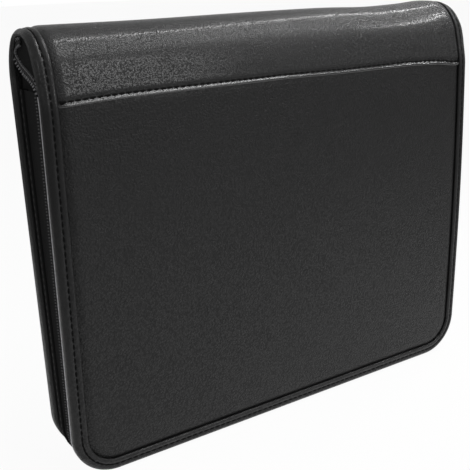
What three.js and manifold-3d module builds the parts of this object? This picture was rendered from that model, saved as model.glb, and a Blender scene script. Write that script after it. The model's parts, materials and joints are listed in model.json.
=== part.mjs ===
// Zip-around leather folder with a rounded spine and a small ring mechanism.
// Millimetres. X runs along the spine, Y from the front cover to the rear cover, +Z up.
// The folder stands closed on its fore edges with the spine on top, as on a desk.
import * as THREE from 'three';
import { mergeVertices } from 'three/addons/utils/BufferGeometryUtils.js';
import Module from 'manifold-3d';

const wasm = await Module();
wasm.setup();

// Overall sizes
const length = 343; // along the spine
const height = 283.6; // fore edge to the top of the spine
const spineRise = 29.6; // the covers end this far below the top and the spine begins
const depthTop = 54.5; // outside of front to outside of rear at the hinges
const depthBase = 41; // the same at the fore edges
const cornerRadius = 30; // lower corners of both covers
const layerGap = 0.25; // between sheets that are stitched together
const hingeGap = 0.3; // between a cover and the spine
const sideLean = 5; // the right side leans in by this much at the hinges

// Edge binding: a folded leather strip that wraps the rim of each cover
const bindingRecess = 0.8; // strip below the leather that laps over it
const bindingSkin = 1.0; // thickness of the folded strip
const bindingFace = 9; // width seen on the face
const bindingSide = 1.5; // thickness around the edge
const edgeRound = 2.6; // rounding of the outer edge
const frontLip = 1.35; // rim that stands up beside the zip
const frontRim = 6.05; // outside of the strip to the inside of the front rim
const rearRim = 8.3; // the same on the rear cover

// Cover layers
const leatherSkin = 1.0;
const fieldDrop = 0.5; // panel below the strip
const turnedEdge = 1.8; // panel leather turned under at its rim
const turnedStart = 3; // its outer edge, in from the rim
const turnedWidth = 7.8;
const liningSkin = 0.8;
const lapDrop = 11.3; // seam where the spine leather laps over the front panel, below the hinges
const rearLapDrop = 7;
const lapTuck = 8; // front panel tucked up behind the seam
const lapSkin = 1.05;
const lapCorner = 0.5;

// Zip
const chainInset = 1.2; // outer face of the chain, in from the rim
const chainThick = 2.4;
const chainWidth = 5.4;
const toothPitch = 3.6;
const toothReach = 0.7; // half the depth of a tooth
const toothGap = 0.2; // each row back from the middle of the mesh
const chainOffset = 1.4; // chain behind the lip of the front rim
const tapeThick = 0.6;
const frontTapeWidth = 8.4;
const seamDrop = 36; // the zip stays closed from this far below the hinges
const stubDrop = 9.5;
const stopLength = 3;

// Gusset between the rear cover and the zip
const recessWidth = 6;
const welt = 4.8; // width of the stitched fold
const weltDepth = 6.2;
const weltInset = 1.0;
const gussetSkin = 1.2;
const gussetDrop = 5.5; // top of the gusset below the hinges
const tapeSlant = 1.6; // rear tape cut away below the chain at its top
const tapeSlack = 0.02; // play allowed where the end tape follows a bend

// Spine
const archRear = 22.25; // half width of the rear curve
const crownFlat = 4.8; // between the two curves
const spineHollow = 16; // open pocket at each end of the spine
const boardDrop = 16.4; // underside of the spine board, below the top
const boardThick = 2.5;

// Ring mechanism
const ringBore = 20;
const ringWire = 2.6;
const ringSpacing = 107.95;
const baseLength = 286;
const baseWidth = 27;
const baseHeight = 7.5;
const baseSkin = 0.9;
const bladeThick = 1.0;
const bladeWidth = 8.8;
const bladeDrop = 1.5; // blade below the foot of the cover plate
const bladeEnd = 4; // each end of the blades, in from the end of the cover plate
const leverLength = 17;
const leverWidth = 14;
const leverThick = 1.4;
const leverGap = 0.5; // beside the end of the cover plate
const leverPivotDrop = 3; // pivot below the spine lining
const leverHead = 2; // lever above its pivot
const leverBend = 5; // bent foot of the lever, in height
const leverFlare = 4; // and how far it turns outwards
const rivetShank = 4;
const rivetHead = 8;
const rivetDome = 1.4;
const rivetClear = 1.2; // room for the shank between the blades
const rivetX = 70;

// Slider and pull
const sliderLength = 12;
const sliderDrop = 14; // top of the slider below the hinges
const sliderPlate = 1.0;
const sliderFlange = 0.8;
const sliderGap = 0.3;
const sliderCorner = 2.2;
const bailWidth = 2.0;
const bailSpan = 7.4;
const bailRise = 1.7;
const bailThick = 1.0;
const pullLength = 28;
const pullWidth = 8;
const pullThick = 1.0;
const pullCorner = 2;
const pullEyeWidth = 2.8;
const pullEyeLength = 6.7;
const pullBar = 1.2;

// Inside fittings
const pocketSkin = 1.0;
const pocketMargin = 14;
const pocketDrop = 42; // top of the document pocket below the hinges
const pocketGap = 109.5; // its open end, in from the right side
const cardRise = 92; // height of the card pockets
const cardReach = 44; // width of the shortest one
const cardStep = 16;
const cardCount = 3;
const cardSide = 8; // in from the side of the document pocket
const cardDrop = 12; // down from its top
const cardCorner = 4;
const penBore = 11;
const penLoopLength = 34;
const penLoopGap = 24; // beside the open end of the document pocket
const penLoopSlit = 0.05; // radians between the two ends of the loop
const penWall = 1.4;
const sleeveDrop = 104; // top of the pad sleeve below the hinges

// Places worked out from the sizes
const hingeHeight = height - spineRise;
const lapHeight = hingeHeight - lapDrop;
const rearLapHeight = hingeHeight - rearLapDrop;
const seamTop = hingeHeight - seamDrop;
const stubTop = hingeHeight - stubDrop;
const gussetTop = hingeHeight - gussetDrop;
const sliderTop = hingeHeight - sliderDrop;
const boardLevel = height - boardDrop;
const pocketTop = hingeHeight - pocketDrop;
const pocketEnd = length / 2 - pocketGap;
const sleeveTop = hingeHeight - sleeveDrop;
const archFront = depthTop - archRear - crownFlat;
const yFront = -depthTop / 2;
const yRear = depthTop / 2;
const rearBase = yFront + depthBase;
const lean = (depthTop - depthBase) / hingeHeight;
const coverTop = hingeHeight - hingeGap / 2;
const spineFoot = hingeHeight + hingeGap / 2;
const panelInset = bindingFace + layerGap;
const turnedEnd = turnedStart + turnedWidth;
const fieldOut = bindingRecess + fieldDrop; // outer face of a cover panel
const turnedOut = bindingRecess + bindingSkin + layerGap;
const boardOut = turnedOut + turnedEdge + layerGap;
const tapeInset = chainInset + (chainThick - tapeThick) / 2;
const rimInner = (rim) => bindingRecess + rim; // inside face of the strip's inner leg
const lipTop = rimInner(frontRim) + frontLip;
const chainStart = lipTop + chainOffset;
const chainEnd = chainStart + chainWidth;
const chainMiddle = (chainStart + chainEnd) / 2;
const weltFar = rimInner(rearRim) + recessWidth;
const weltNear = weltFar + welt;

const meshes = new THREE.Group();

function finish(name, geometry, colour, roughness = 0.6, metalness = 0) {
  const material = new THREE.MeshStandardMaterial({ color: colour, roughness, metalness });
  const mesh = new THREE.Mesh(geometry, material);
  mesh.name = name;
  meshes.add(mesh);
  return mesh;
}

const leatherBlack = 0x1c1c1e;
const liningBlack = 0x242427;
const boardGrey = 0x6b6560;
const foamGrey = 0x4a4a4c;
const tapeBlack = 0x141416;
const toothBlack = 0x26262a;
const chromeGrey = 0xc9ccd0;

// A closed solid through rings of points, with flat ends
function solidFromRings(rings, outline) {
  const count = rings[0].length;
  const points = rings.flat();
  const triangles = [];
  for (let r = 0; r < rings.length - 1; r += 1) {
    for (let i = 0; i < count; i += 1) {
      const a = r * count + i;
      const b = r * count + (i + 1) % count;
      triangles.push([a, b, a + count], [b, b + count, a + count]);
    }
  }
  const caps = THREE.ShapeUtils.triangulateShape(outline, []);
  const last = (rings.length - 1) * count;
  const turned = THREE.ShapeUtils.isClockWise(outline);
  for (const [a, b, c] of caps) {
    triangles.push(turned ? [a, b, c] : [a, c, b]);
    triangles.push(turned ? [last + a, last + c, last + b] : [last + a, last + b, last + c]);
  }
  return closedGeometry(points, triangles);
}

// Triangles are turned outwards by the sign of the volume they enclose
function closedGeometry(points, triangles) {
  let volume = 0;
  const cross = new THREE.Vector3();
  for (const [a, b, c] of triangles) {
    volume += points[a].dot(cross.crossVectors(points[b], points[c]));
  }
  const order = volume > 0 ? ([a, b, c]) => [a, b, c] : ([a, b, c]) => [a, c, b];
  const geometry = new THREE.BufferGeometry();
  const numbers = points.flatMap((p) => [p.x, p.y, p.z]);
  geometry.setAttribute('position', new THREE.Float32BufferAttribute(numbers, 3));
  geometry.setIndex(triangles.flatMap(order));
  geometry.computeVertexNormals();
  return geometry;
}

function toSolid(geometry) {
  const bare = geometry.clone();
  bare.deleteAttribute('normal');
  bare.deleteAttribute('uv');
  const merged = mergeVertices(bare, 1e-4);
  return new wasm.Manifold(new wasm.Mesh({
    numProp: 3,
    vertProperties: new Float32Array(merged.attributes.position.array),
    triVerts: new Uint32Array(merged.index.array),
  }));
}

function toGeometry(solid) {
  const mesh = solid.getMesh();
  const geometry = new THREE.BufferGeometry();
  geometry.setAttribute('position', new THREE.BufferAttribute(mesh.vertProperties, 3));
  geometry.setIndex(new THREE.BufferAttribute(mesh.triVerts, 1));
  geometry.computeVertexNormals();
  return geometry;
}

const joined = (...parts) => toGeometry(parts.map(toSolid).reduce((a, b) => a.add(b)));
const cut = (body, ...tools) => toGeometry(tools.map(toSolid).reduce((a, b) => a.subtract(b), toSolid(body)));

function box(x0, x1, y0, y1, z0, z1) {
  const geometry = new THREE.BoxGeometry(x1 - x0, y1 - y0, z1 - z0);
  return geometry.translate((x0 + x1) / 2, (y0 + y1) / 2, (z0 + z1) / 2);
}

// A flat sheet: a shape in X and Z, from one Y to another
function sheet(shape, y0, y1, curveSegments = 7) {
  const geometry = new THREE.ExtrudeGeometry(shape, { depth: y1 - y0, bevelEnabled: false, curveSegments });
  return geometry.rotateX(Math.PI / 2).translate(0, y1, 0);
}

// The rear cover leans: its sheets are built upright and then sheared
const leaning = new THREE.Matrix4().set(1, 0, 0, 0, 0, 1, lean, 0, 0, 0, 1, 0, 0, 0, 0, 1);
const frontSheet = (shape, v0, v1, curveSegments) => sheet(shape, yFront + v0, yFront + v1, curveSegments);
const rearUpright = (shape, u0, u1, curveSegments) => sheet(shape, rearBase - u1, rearBase - u0, curveSegments);
const rearSheet = (...sizes) => rearUpright(...sizes).applyMatrix4(leaning);

// Outline of a cover, drawn in from the rim: round at the foot, square at the hinge
function coverShape(inset, top, hole) {
  const side = length / 2 - inset;
  const radius = cornerRadius - inset;
  const middle = length / 2 - cornerRadius;
  const shape = new THREE.Shape();
  shape.moveTo(-side, top);
  shape.lineTo(-side, cornerRadius);
  shape.absarc(-middle, cornerRadius, radius, Math.PI, 1.5 * Math.PI, false);
  shape.absarc(middle, cornerRadius, radius, 1.5 * Math.PI, 2 * Math.PI, false);
  shape.lineTo(side, top);
  if (hole) {
    shape.holes.push(hole);
  }
  return shape;
}

function roundedShape(x0, x1, z0, z1, radius) {
  const shape = new THREE.Shape();
  shape.absarc(x0 + radius, z0 + radius, radius, Math.PI, 1.5 * Math.PI, false);
  shape.absarc(x1 - radius, z0 + radius, radius, 1.5 * Math.PI, 2 * Math.PI, false);
  shape.absarc(x1 - radius, z1 - radius, radius, 0, 0.5 * Math.PI, false);
  shape.absarc(x0 + radius, z1 - radius, radius, 0.5 * Math.PI, Math.PI, false);
  return shape;
}

// The rim runs down the left side, along the foot and up the right side.
// A station is a place on it with the direction inwards.
const cornerLength = Math.PI / 2 * (cornerRadius - tapeInset);
const footLength = length - 2 * cornerRadius;

function rimStation(travel, top) {
  const drop = top - cornerRadius;
  const radius = cornerRadius - tapeInset;
  const middle = length / 2 - cornerRadius;
  if (travel <= drop) {
    return { x: -length / 2, z: top - travel, nx: 1, nz: 0 };
  }
  if (travel <= drop + cornerLength) {
    const turn = (travel - drop) / radius;
    return corner(-middle, Math.PI + turn);
  }
  if (travel <= drop + cornerLength + footLength) {
    return { x: travel - drop - cornerLength - middle, z: 0, nx: 0, nz: 1 };
  }
  if (travel <= drop + 2 * cornerLength + footLength) {
    const turn = (travel - drop - cornerLength - footLength) / radius;
    return corner(middle, 1.5 * Math.PI + turn);
  }
  return { x: length / 2, z: cornerRadius + travel - drop - 2 * cornerLength - footLength, nx: -1, nz: 0 };
}

function corner(x, angle) {
  const nx = -Math.cos(angle);
  const nz = -Math.sin(angle);
  return { x: x - cornerRadius * nx, z: cornerRadius - cornerRadius * nz, nx, nz };
}

function rimStations(top, cornerSteps = 8) {
  const drop = top - cornerRadius;
  const travels = [0];
  for (let i = 0; i <= cornerSteps; i += 1) {
    travels.push(drop + cornerLength * i / cornerSteps);
  }
  for (let i = 0; i <= cornerSteps; i += 1) {
    travels.push(drop + cornerLength + footLength + cornerLength * i / cornerSteps);
  }
  travels.push(2 * drop + 2 * cornerLength + footLength);
  return travels.map((travel) => rimStation(travel, top));
}

const frontPlace = (station, inset, v) => new THREE.Vector3(
  station.x + inset * station.nx,
  yFront + v,
  station.z + inset * station.nz,
);

function rearPlace(station, inset, u) {
  const z = station.z + inset * station.nz;
  return new THREE.Vector3(station.x + inset * station.nx, rearBase - u + lean * z, z);
}

// A strip of constant section around the rim, the section given as [inset, depth] points
function rimStrip(section, place, top, cornerSteps) {
  const outline = section.map(([inset, depth]) => new THREE.Vector2(inset, depth));
  const rings = rimStations(top, cornerSteps).map((station) => section.map(([n, d]) => place(station, n, d)));
  return solidFromRings(rings, outline);
}

function roundedEdge(n, d, radius, from, steps = 2) {
  const points = [];
  for (let i = 0; i <= steps; i += 1) {
    const angle = from + Math.PI / 2 * i / steps;
    points.push([n + radius * Math.cos(angle), d + radius * Math.sin(angle)]);
  }
  return points;
}

// Section of the edge binding: face leg, rounded side and inner leg around an open slot
function bindingSection(rim, lip) {
  const inner = rimInner(rim);
  const outer = inner + lip;
  const points = [[bindingFace, bindingRecess + bindingSkin], [bindingFace, bindingRecess]];
  const face = roundedEdge(edgeRound, bindingRecess + edgeRound, edgeRound, Math.PI, 3).reverse();
  points.push(...face);
  const backRound = lip > 0 ? bindingSide / 2 : edgeRound;
  const back = roundedEdge(backRound, outer - backRound, backRound, Math.PI / 2).reverse();
  points.push(...back);
  if (lip > 0) {
    points.push([bindingSide, outer - backRound], [bindingSide, inner]);
  }
  points.push([bindingFace, inner], [bindingFace, inner - bindingSkin]);
  points.push([bindingSide, inner - bindingSkin], [bindingSide, bindingRecess + bindingSkin]);
  return points;
}

// A row of chisel teeth on its cord. The two rows follow one zigzag and mesh with a gap.
function toothRow(frameAt, start, end, side) {
  const count = Math.round((end - start) / toothPitch);
  const pitch = (end - start) / count;
  const points = [];
  const triangles = [];
  const add = (frame, across, through) => {
    const place = frame.at.clone().addScaledVector(frame.across, across);
    points.push(place.addScaledVector(frame.through, through));
  };
  const back = side * chainWidth / 2;
  const low = side * toothGap - toothReach;
  const high = side * toothGap + toothReach;
  for (let i = 0; i <= count; i += 1) {
    const frame = frameAt(start + i * pitch);
    add(frame, back, 0);
    add(frame, back, chainThick);
    add(frame, low, chainThick);
    add(frame, low, 0);
    if (i < count) {
      const crest = frameAt(start + (i + 0.5) * pitch);
      add(crest, high, 0);
      add(crest, high, chainThick);
    }
  }
  for (let i = 0; i < count; i += 1) {
    const [a, b, c, d, e, f] = [0, 1, 2, 3, 4, 5].map((k) => i * 6 + k);
    const [a2, b2, c2, d2] = [a, b, c, d].map((k) => k + 6);
    triangles.push([a, b, a2], [b, b2, a2]);
    triangles.push([a, a2, e], [a2, d2, e], [a, e, d]);
    triangles.push([b, f, b2], [b2, f, c2], [b, c, f]);
    triangles.push([d, e, c], [c, e, f], [e, d2, f], [f, d2, c2]);
  }
  const last = count * 6;
  triangles.push([0, 3, 1], [3, 2, 1]);
  triangles.push([last, last + 1, last + 3], [last + 3, last + 1, last + 2]);
  return closedGeometry(points, triangles);
}

const rimFrame = (top) => (travel) => {
  const station = rimStation(travel, top);
  return {
    at: frontPlace(station, chainInset, chainMiddle),
    across: new THREE.Vector3(0, 1, 0),
    through: new THREE.Vector3(station.nx, 0, station.nz),
  };
};

const stubFrame = (side) => (travel) => ({
  at: new THREE.Vector3(side * (length / 2 - chainInset), yFront + chainMiddle, travel),
  across: new THREE.Vector3(0, 1, 0),
  through: new THREE.Vector3(-side, 0, 0),
});

// Rear cover
finish('rear_binding', rimStrip(bindingSection(rearRim, 0), rearPlace, coverTop), leatherBlack, 0.45);

function trayPanel(place, top) {
  const field = place(coverShape(panelInset, top), fieldOut, fieldOut + leatherSkin);
  const rim = place(coverShape(turnedStart, top - layerGap), turnedOut, turnedOut + turnedEdge);
  const pocket = place(coverShape(turnedEnd, top + leatherSkin), fieldOut + leatherSkin, boardOut);
  return toGeometry(toSolid(rim).add(toSolid(field)).subtract(toSolid(pocket)));
}

const rearPanelTop = rearLapHeight - layerGap;
finish('rear_panel', trayPanel(rearUpright, rearPanelTop).applyMatrix4(leaning), leatherBlack, 0.45);

const paddingShape = coverShape(turnedEnd + layerGap, lapHeight - 2 * layerGap);
const paddingOut = fieldOut + leatherSkin + layerGap;
finish('rear_padding', rearSheet(paddingShape, paddingOut, boardOut - layerGap), foamGrey, 0.9);

const boardInner = (rim) => rimInner(rim) - bindingSkin - layerGap;
const boardShape = coverShape(turnedStart, coverTop);
finish('rear_board', rearSheet(boardShape, boardOut, boardInner(rearRim)), boardGrey, 0.85);

const liningShape = coverShape(panelInset, coverTop);
const liningSheet = (place, rim) => place(liningShape, rimInner(rim) - liningSkin, rimInner(rim));
finish('rear_lining', liningSheet(rearSheet, rearRim), liningBlack, 0.7);

const lapShape = (foot) => roundedShape(
  panelInset - length / 2,
  length / 2 - panelInset,
  foot,
  coverTop,
  lapCorner,
);

// Leather that comes down from the spine and laps over a cover panel
function lapPanel(place, foot) {
  const face = place(lapShape(foot), 0, lapSkin, 1);
  const side = (sign) => {
    const x0 = sign * (length / 2 - turnedEnd);
    const x1 = sign * (length / 2 - panelInset);
    return place(roundedShape(Math.min(x0, x1), Math.max(x0, x1), foot, coverTop, lapCorner), 0, turnedOut + leatherSkin, 1);
  };
  const tuck = (sign) => {
    const x0 = sign * (length / 2 - turnedEnd);
    const x1 = sign * (length / 2 - turnedStart);
    const shape = roundedShape(Math.min(x0, x1), Math.max(x0, x1), foot, coverTop, lapCorner);
    return place(shape, turnedOut, turnedOut + leatherSkin, 1);
  };
  return joined(face, side(-1), side(1), tuck(-1), tuck(1));
}

finish('rear_upper_panel', lapPanel(rearUpright, rearLapHeight).applyMatrix4(leaning), leatherBlack, 0.45);

// Gusset: a wall set in from the rim and a stitched welt that carries the zip tape
const gussetInset = weltInset + weltDepth + layerGap;
const gussetSection = [
  [gussetInset, rimInner(rearRim) + layerGap],
  [gussetInset + gussetSkin, rimInner(rearRim) + layerGap],
  [gussetInset + gussetSkin, weltNear],
  [gussetInset, weltNear],
];
finish('gusset_wall', rimStrip(gussetSection, rearPlace, gussetTop), leatherBlack, 0.6);

const weltRound = 1.2;
const weltSection = [
  ...roundedEdge(weltInset + weltRound, weltFar + weltRound, weltRound, Math.PI),
  [weltInset + weltDepth, weltFar],
  [weltInset + weltDepth, weltNear],
  ...roundedEdge(weltInset + weltRound, weltNear - weltRound, weltRound, Math.PI / 2),
];
finish('gusset_welt', rimStrip(weltSection, rearPlace, gussetTop), leatherBlack, 0.5);

// The rear tape widens upwards, from the straight chain to the leaning welt
function rearTape() {
  const near = chainEnd + layerGap;
  const corners = [[tapeInset, 0], [tapeInset + tapeThick, 0], [tapeInset + tapeThick, 1], [tapeInset, 1]];
  const outline = corners.map(([n, d]) => new THREE.Vector2(n, d * welt));
  const rings = rimStations(gussetTop).map((station) => corners.map(([n, far]) => {
    const place = frontPlace(station, n, near);
    if (far) {
      place.y = rearBase - weltNear - layerGap + lean * place.z;
    } else if (station.z === gussetTop) {
      place.z -= tapeSlant;
    }
    return place;
  }));
  return solidFromRings(rings, outline);
}

finish('rear_zip_tape', rearTape(), tapeBlack, 0.9);

const seamTravel = 2 * (seamTop - cornerRadius) + 2 * cornerLength + footLength;
const rowPitch = seamTravel / Math.round(seamTravel / toothPitch); // one tooth less at each end of the rear row
finish('rear_zip_teeth', toothRow(rimFrame(seamTop), rowPitch, seamTravel - rowPitch, 1), toothBlack, 0.35);

// A flat pocket for a writing pad inside the rear cover
const pocketCorner = cornerRadius - pocketMargin;
const pocketShape = (x1, top) => roundedShape(pocketMargin - length / 2, x1, pocketMargin, top, pocketCorner);
const onLining = (rim) => rimInner(rim) + layerGap;
finish(
  'pad_sleeve',
  rearSheet(pocketShape(length / 2 - pocketMargin, sleeveTop), onLining(rearRim), onLining(rearRim) + pocketSkin),
  leatherBlack,
  0.5,
);

// Spine: curves at a depth below the outer surface, from the front foot over to the rear foot
function archPoint(depth, share, foot) {
  const rise = spineRise - depth;
  const start = Math.asin(Math.min(1, (foot - hingeHeight) / rise));
  if (share <= 0.5) {
    const angle = start + (Math.PI / 2 - start) * share * 2;
    return [yFront + archFront - (archFront - depth) * Math.cos(angle), hingeHeight + rise * Math.sin(angle)];
  }
  const angle = start + (Math.PI / 2 - start) * (1 - share) * 2;
  return [yRear - archRear + (archRear - depth) * Math.cos(angle), hingeHeight + rise * Math.sin(angle)];
}

const archSteps = 12;

function archCurve(depth, foot = spineFoot, steps = archSteps) {
  const points = [];
  for (let i = 0; i <= steps; i += 1) {
    if (i === steps / 2) {
      points.push([yFront + archFront, height - depth], [yRear - archRear, height - depth]);
    } else {
      points.push(archPoint(depth, i / steps, foot));
    }
  }
  return points;
}

// Extrudes a closed outline in Y and Z along the spine
function alongSpine(outline, x0, x1) {
  const flat = outline.map(([y, z]) => new THREE.Vector2(y, z));
  const rings = [x0, x1].map((x) => outline.map(([y, z]) => new THREE.Vector3(x, y, z)));
  return solidFromRings(rings, flat);
}

const archBand = (outer, inner) => [...archCurve(outer), ...archCurve(inner).reverse()];

const spineField = length / 2 - panelInset;
const spineTuck = length / 2 - turnedStart;
const spineTurn = length / 2 - turnedEnd;
finish('spine_leather', joined(
  alongSpine(archBand(0, leatherSkin), -spineField, spineField),
  alongSpine(archBand(0, turnedOut + leatherSkin), -spineField, -spineTurn),
  alongSpine(archBand(0, turnedOut + leatherSkin), spineTurn, spineField),
  alongSpine(archBand(turnedOut, turnedOut + leatherSkin), -spineTuck, -spineTurn),
  alongSpine(archBand(turnedOut, turnedOut + leatherSkin), spineTurn, spineTuck),
), leatherBlack, 0.45);

// Binding over each end of the spine, the same section as the front rim
function spineBinding(side) {
  const section = bindingSection(frontRim, frontLip);
  const outline = section.map(([n, d]) => new THREE.Vector2(n, d));
  const curves = section.map(([, depth]) => archCurve(depth));
  const rings = curves[0].map((unused, i) => section.map(([n], k) => {
    const [y, z] = curves[k][i];
    return new THREE.Vector3(side * (length / 2 - n), y, z);
  }));
  return solidFromRings(rings, outline);
}

finish('spine_binding_left', spineBinding(-1), leatherBlack, 0.45);
finish('spine_binding_right', spineBinding(1), leatherBlack, 0.45);

// Padding under the crown, down to the flat spine board
const coreOut = turnedOut + leatherSkin + layerGap;
const coreHalf = length / 2 - spineHollow;
const coreFoot = boardLevel + boardThick + layerGap;
finish('spine_padding', alongSpine(archCurve(coreOut, coreFoot, 8), -coreHalf, coreHalf), foamGrey, 0.9);

const boardEdge = archCurve(coreOut, boardLevel + boardThick, 2);
const boardFrontY = boardEdge[0][0];
const boardRearY = boardEdge[boardEdge.length - 1][0];
const shank = (x, grow) => {
  const geometry = new THREE.CylinderGeometry(rivetShank / 2 + grow, rivetShank / 2 + grow, height, 12);
  return geometry.rotateX(Math.PI / 2).translate(x, 0, boardLevel);
};
const rivetHoles = [-rivetX, rivetX].map((x) => shank(x, layerGap));
finish('spine_board', cut(
  box(-coreHalf, coreHalf, boardFrontY, boardRearY, boardLevel, boardLevel + boardThick),
  ...rivetHoles,
), boardGrey, 0.85);

const liningTop = boardLevel - layerGap;
const liningOutline = [
  ...archCurve(coreOut, spineFoot, 8).filter(([, z]) => z < liningTop - 1),
];
const liningFront = liningOutline.filter(([y]) => y < 0);
const liningRear = liningOutline.filter(([y]) => y > 0);
const liningLoop = [
  ...liningFront,
  [boardFrontY, liningTop],
  [boardRearY, liningTop],
  ...liningRear,
  ...[...liningRear].reverse().map(([y, z]) => [y - liningSkin, Math.min(z, liningTop - liningSkin)]),
  [boardRearY - liningSkin, liningTop - liningSkin],
  [boardFrontY + liningSkin, liningTop - liningSkin],
  ...[...liningFront].reverse().map(([y, z]) => [y + liningSkin, Math.min(z, liningTop - liningSkin)]),
];
finish('spine_lining', cut(alongSpine(liningLoop, -coreHalf, coreHalf), ...rivetHoles), liningBlack, 0.7);

// Ring mechanism: a curved cover plate over two blades that carry the half rings
const baseFoot = liningTop - liningSkin - layerGap;
const baseRadius = ((baseWidth / 2) ** 2 + baseHeight ** 2) / (2 * baseHeight);
const baseCentre = baseFoot - baseHeight + baseRadius;

function baseArc(radius, steps = 8) {
  const half = Math.asin(baseWidth / 2 / radius);
  const points = [];
  for (let i = 0; i <= steps; i += 1) {
    const angle = -half + 2 * half * i / steps;
    points.push([radius * Math.sin(angle), baseCentre - radius * Math.cos(angle)]);
  }
  return points;
}

const ringPlaces = [-ringSpacing, 0, ringSpacing];
const slotHalf = ringWire / 2 + 1;
const slotOuter = baseWidth / 2 - baseSkin;
const slotInner = 3.4; // the slots leave a bridge along the middle of the plate
const ringSlots = ringPlaces.flatMap((x) => [-1, 1].map((side) => {
  const [near, far] = side < 0 ? [-slotOuter, -slotInner] : [slotInner, slotOuter];
  return box(x - slotHalf, x + slotHalf, near, far, baseFoot - baseHeight - 1, baseFoot + 1);
}));
const baseOutline = [...baseArc(baseRadius), ...baseArc(baseRadius - baseSkin).map(([y, z]) =>
  [y * (baseWidth / 2 - baseSkin) / (baseWidth / 2), Math.min(z, baseFoot)]).reverse()];
finish('ring_cover_plate', cut(
  alongSpine(baseOutline, -baseLength / 2, baseLength / 2),
  ...ringSlots,
  ...rivetHoles,
), chromeGrey, 0.25, 1);

const bladeTop = baseFoot - bladeDrop;
const bladeFoot = bladeTop - bladeThick;
const bladeMiddle = 0.2;
const ringRadius = (ringBore + ringWire) / 2;
const ringRootY = 6;
const ringCentre = bladeFoot + 0.3 - Math.sqrt(ringRadius ** 2 - ringRootY ** 2);

function halfRing(x, side) {
  const tipGap = 0.15;
  const root = Math.PI / 2 - Math.asin(ringRootY / ringRadius);
  const tip = -Math.PI / 2 + tipGap / ringRadius;
  const steps = 9;
  const sides = 8;
  const outline = [];
  for (let k = 0; k < sides; k += 1) {
    const angle = 2 * Math.PI * (k + 0.5) / sides;
    outline.push(new THREE.Vector2(Math.cos(angle), Math.sin(angle)).multiplyScalar(ringWire / 2));
  }
  const rings = [];
  for (let i = 0; i <= steps; i += 1) {
    const angle = root + (tip - root) * i / steps;
    rings.push(outline.map((p) => new THREE.Vector3(
      x + p.x,
      side * (ringRadius + p.y) * Math.cos(angle),
      ringCentre + (ringRadius + p.y) * Math.sin(angle),
    )));
  }
  return solidFromRings(rings, outline);
}

function rail(side) {
  const near = side < 0 ? -bladeWidth - bladeMiddle : bladeMiddle;
  const blade = box(bladeEnd - baseLength / 2, baseLength / 2 - bladeEnd, near, near + bladeWidth, bladeFoot, bladeTop);
  const holes = [-rivetX, rivetX].map((x) => shank(x, rivetClear));
  return cut(joined(blade, ...ringPlaces.map((x) => halfRing(x, side))), ...holes);
}

finish('ring_rail_front', rail(-1), chromeGrey, 0.2, 1);
finish('ring_rail_rear', rail(1), chromeGrey, 0.2, 1);

function rivet(x) {
  const top = boardLevel + boardThick - layerGap;
  const foot = baseFoot - baseHeight - layerGap;
  const profile = [
    [0, foot - rivetDome], [rivetHead / 3, foot - 0.8 * rivetDome], [rivetHead / 2, foot],
    [rivetShank / 2, foot], [rivetShank / 2, top], [0, top],
  ].map(([r, z]) => new THREE.Vector2(r, z));
  return new THREE.LatheGeometry(profile, 12).rotateX(Math.PI / 2).translate(x, 0, 0);
}

finish('ring_rivet_left', rivet(-rivetX), chromeGrey, 0.2, 1);
finish('ring_rivet_right', rivet(rivetX), chromeGrey, 0.2, 1);

// Lever at each end of the cover plate, bent outwards at its tip
const leverPivotZ = baseFoot - leverPivotDrop;

function lever(side) {
  const x = baseLength / 2 + leverGap;
  const foot = leverPivotZ - leverLength;
  const bend = foot + leverBend;
  const outline = [
    [x, leverPivotZ + leverHead], [x + leverThick, leverPivotZ + leverHead], [x + leverThick, bend],
    [x + leverThick + leverFlare, foot], [x + leverFlare, foot], [x, bend],
  ];
  const rings = [-leverWidth / 2, leverWidth / 2].map((y) =>
    outline.map(([px, z]) => new THREE.Vector3(side * px, y, z)));
  return solidFromRings(rings, outline.map(([px, z]) => new THREE.Vector2(px, z)));
}

finish('ring_lever_left', lever(-1), chromeGrey, 0.2, 1);
finish('ring_lever_right', lever(1), chromeGrey, 0.2, 1);

// The left end of the zip: the closed chain runs back across the spine end and into the hollow.
// Its route is given as shares of the way to the rear binding and of the rise of the spine.
const zipRoute = [
  [0, -0.135], [0.2, -0.058], [0.49, 0.034], [0.75, 0.122], [0.93, 0.23], [0.98, 0.358], [0.88, 0.48], [0.7, 0.56],
];
const zipTurn = 0.358; // share of the rise where the route turns back
const zipSlip = 1.6; // its start, behind the middle of the chain
const chainRoom = lipTop + chainWidth / 2 + 2 * layerGap;
const routeStart = yFront + chainMiddle + zipSlip;
const routeReach = (rise) => archPoint(chainRoom, 1, hingeHeight + spineRise * Math.max(rise, zipTurn))[0] - routeStart;
const zipCurve = new THREE.CatmullRomCurve3(
  zipRoute.map(([share, rise]) =>
    new THREE.Vector3(0, routeStart + share * routeReach(rise), hingeHeight + spineRise * rise)),
  false,
  'catmullrom',
  0.5,
);

const endFrame = (side) => (travel) => {
  const share = Math.min(1, travel / zipCurve.getLength());
  const tangent = zipCurve.getTangentAt(share);
  const at = zipCurve.getPointAt(share);
  at.x = side * (length / 2 - chainInset);
  return {
    at,
    across: new THREE.Vector3(0, tangent.z, -tangent.y),
    through: new THREE.Vector3(-side, 0, 0),
  };
};

// A stop across both rows joins them into one closed length of chain
function chainStop(frame) {
  const along = new THREE.Vector3().crossVectors(frame.across, frame.through);
  const corners = [[-0.5, -0.5], [0.5, -0.5], [0.5, 0.5], [-0.5, 0.5]];
  const rings = [0, 1].map((level) => corners.map(([w, s]) => frame.at.clone()
    .addScaledVector(frame.across, w * chainWidth)
    .addScaledVector(along, s * stopLength)
    .addScaledVector(frame.through, level * chainThick)));
  return solidFromRings(rings, corners.map(([w, s]) => new THREE.Vector2(w, s)));
}

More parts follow.
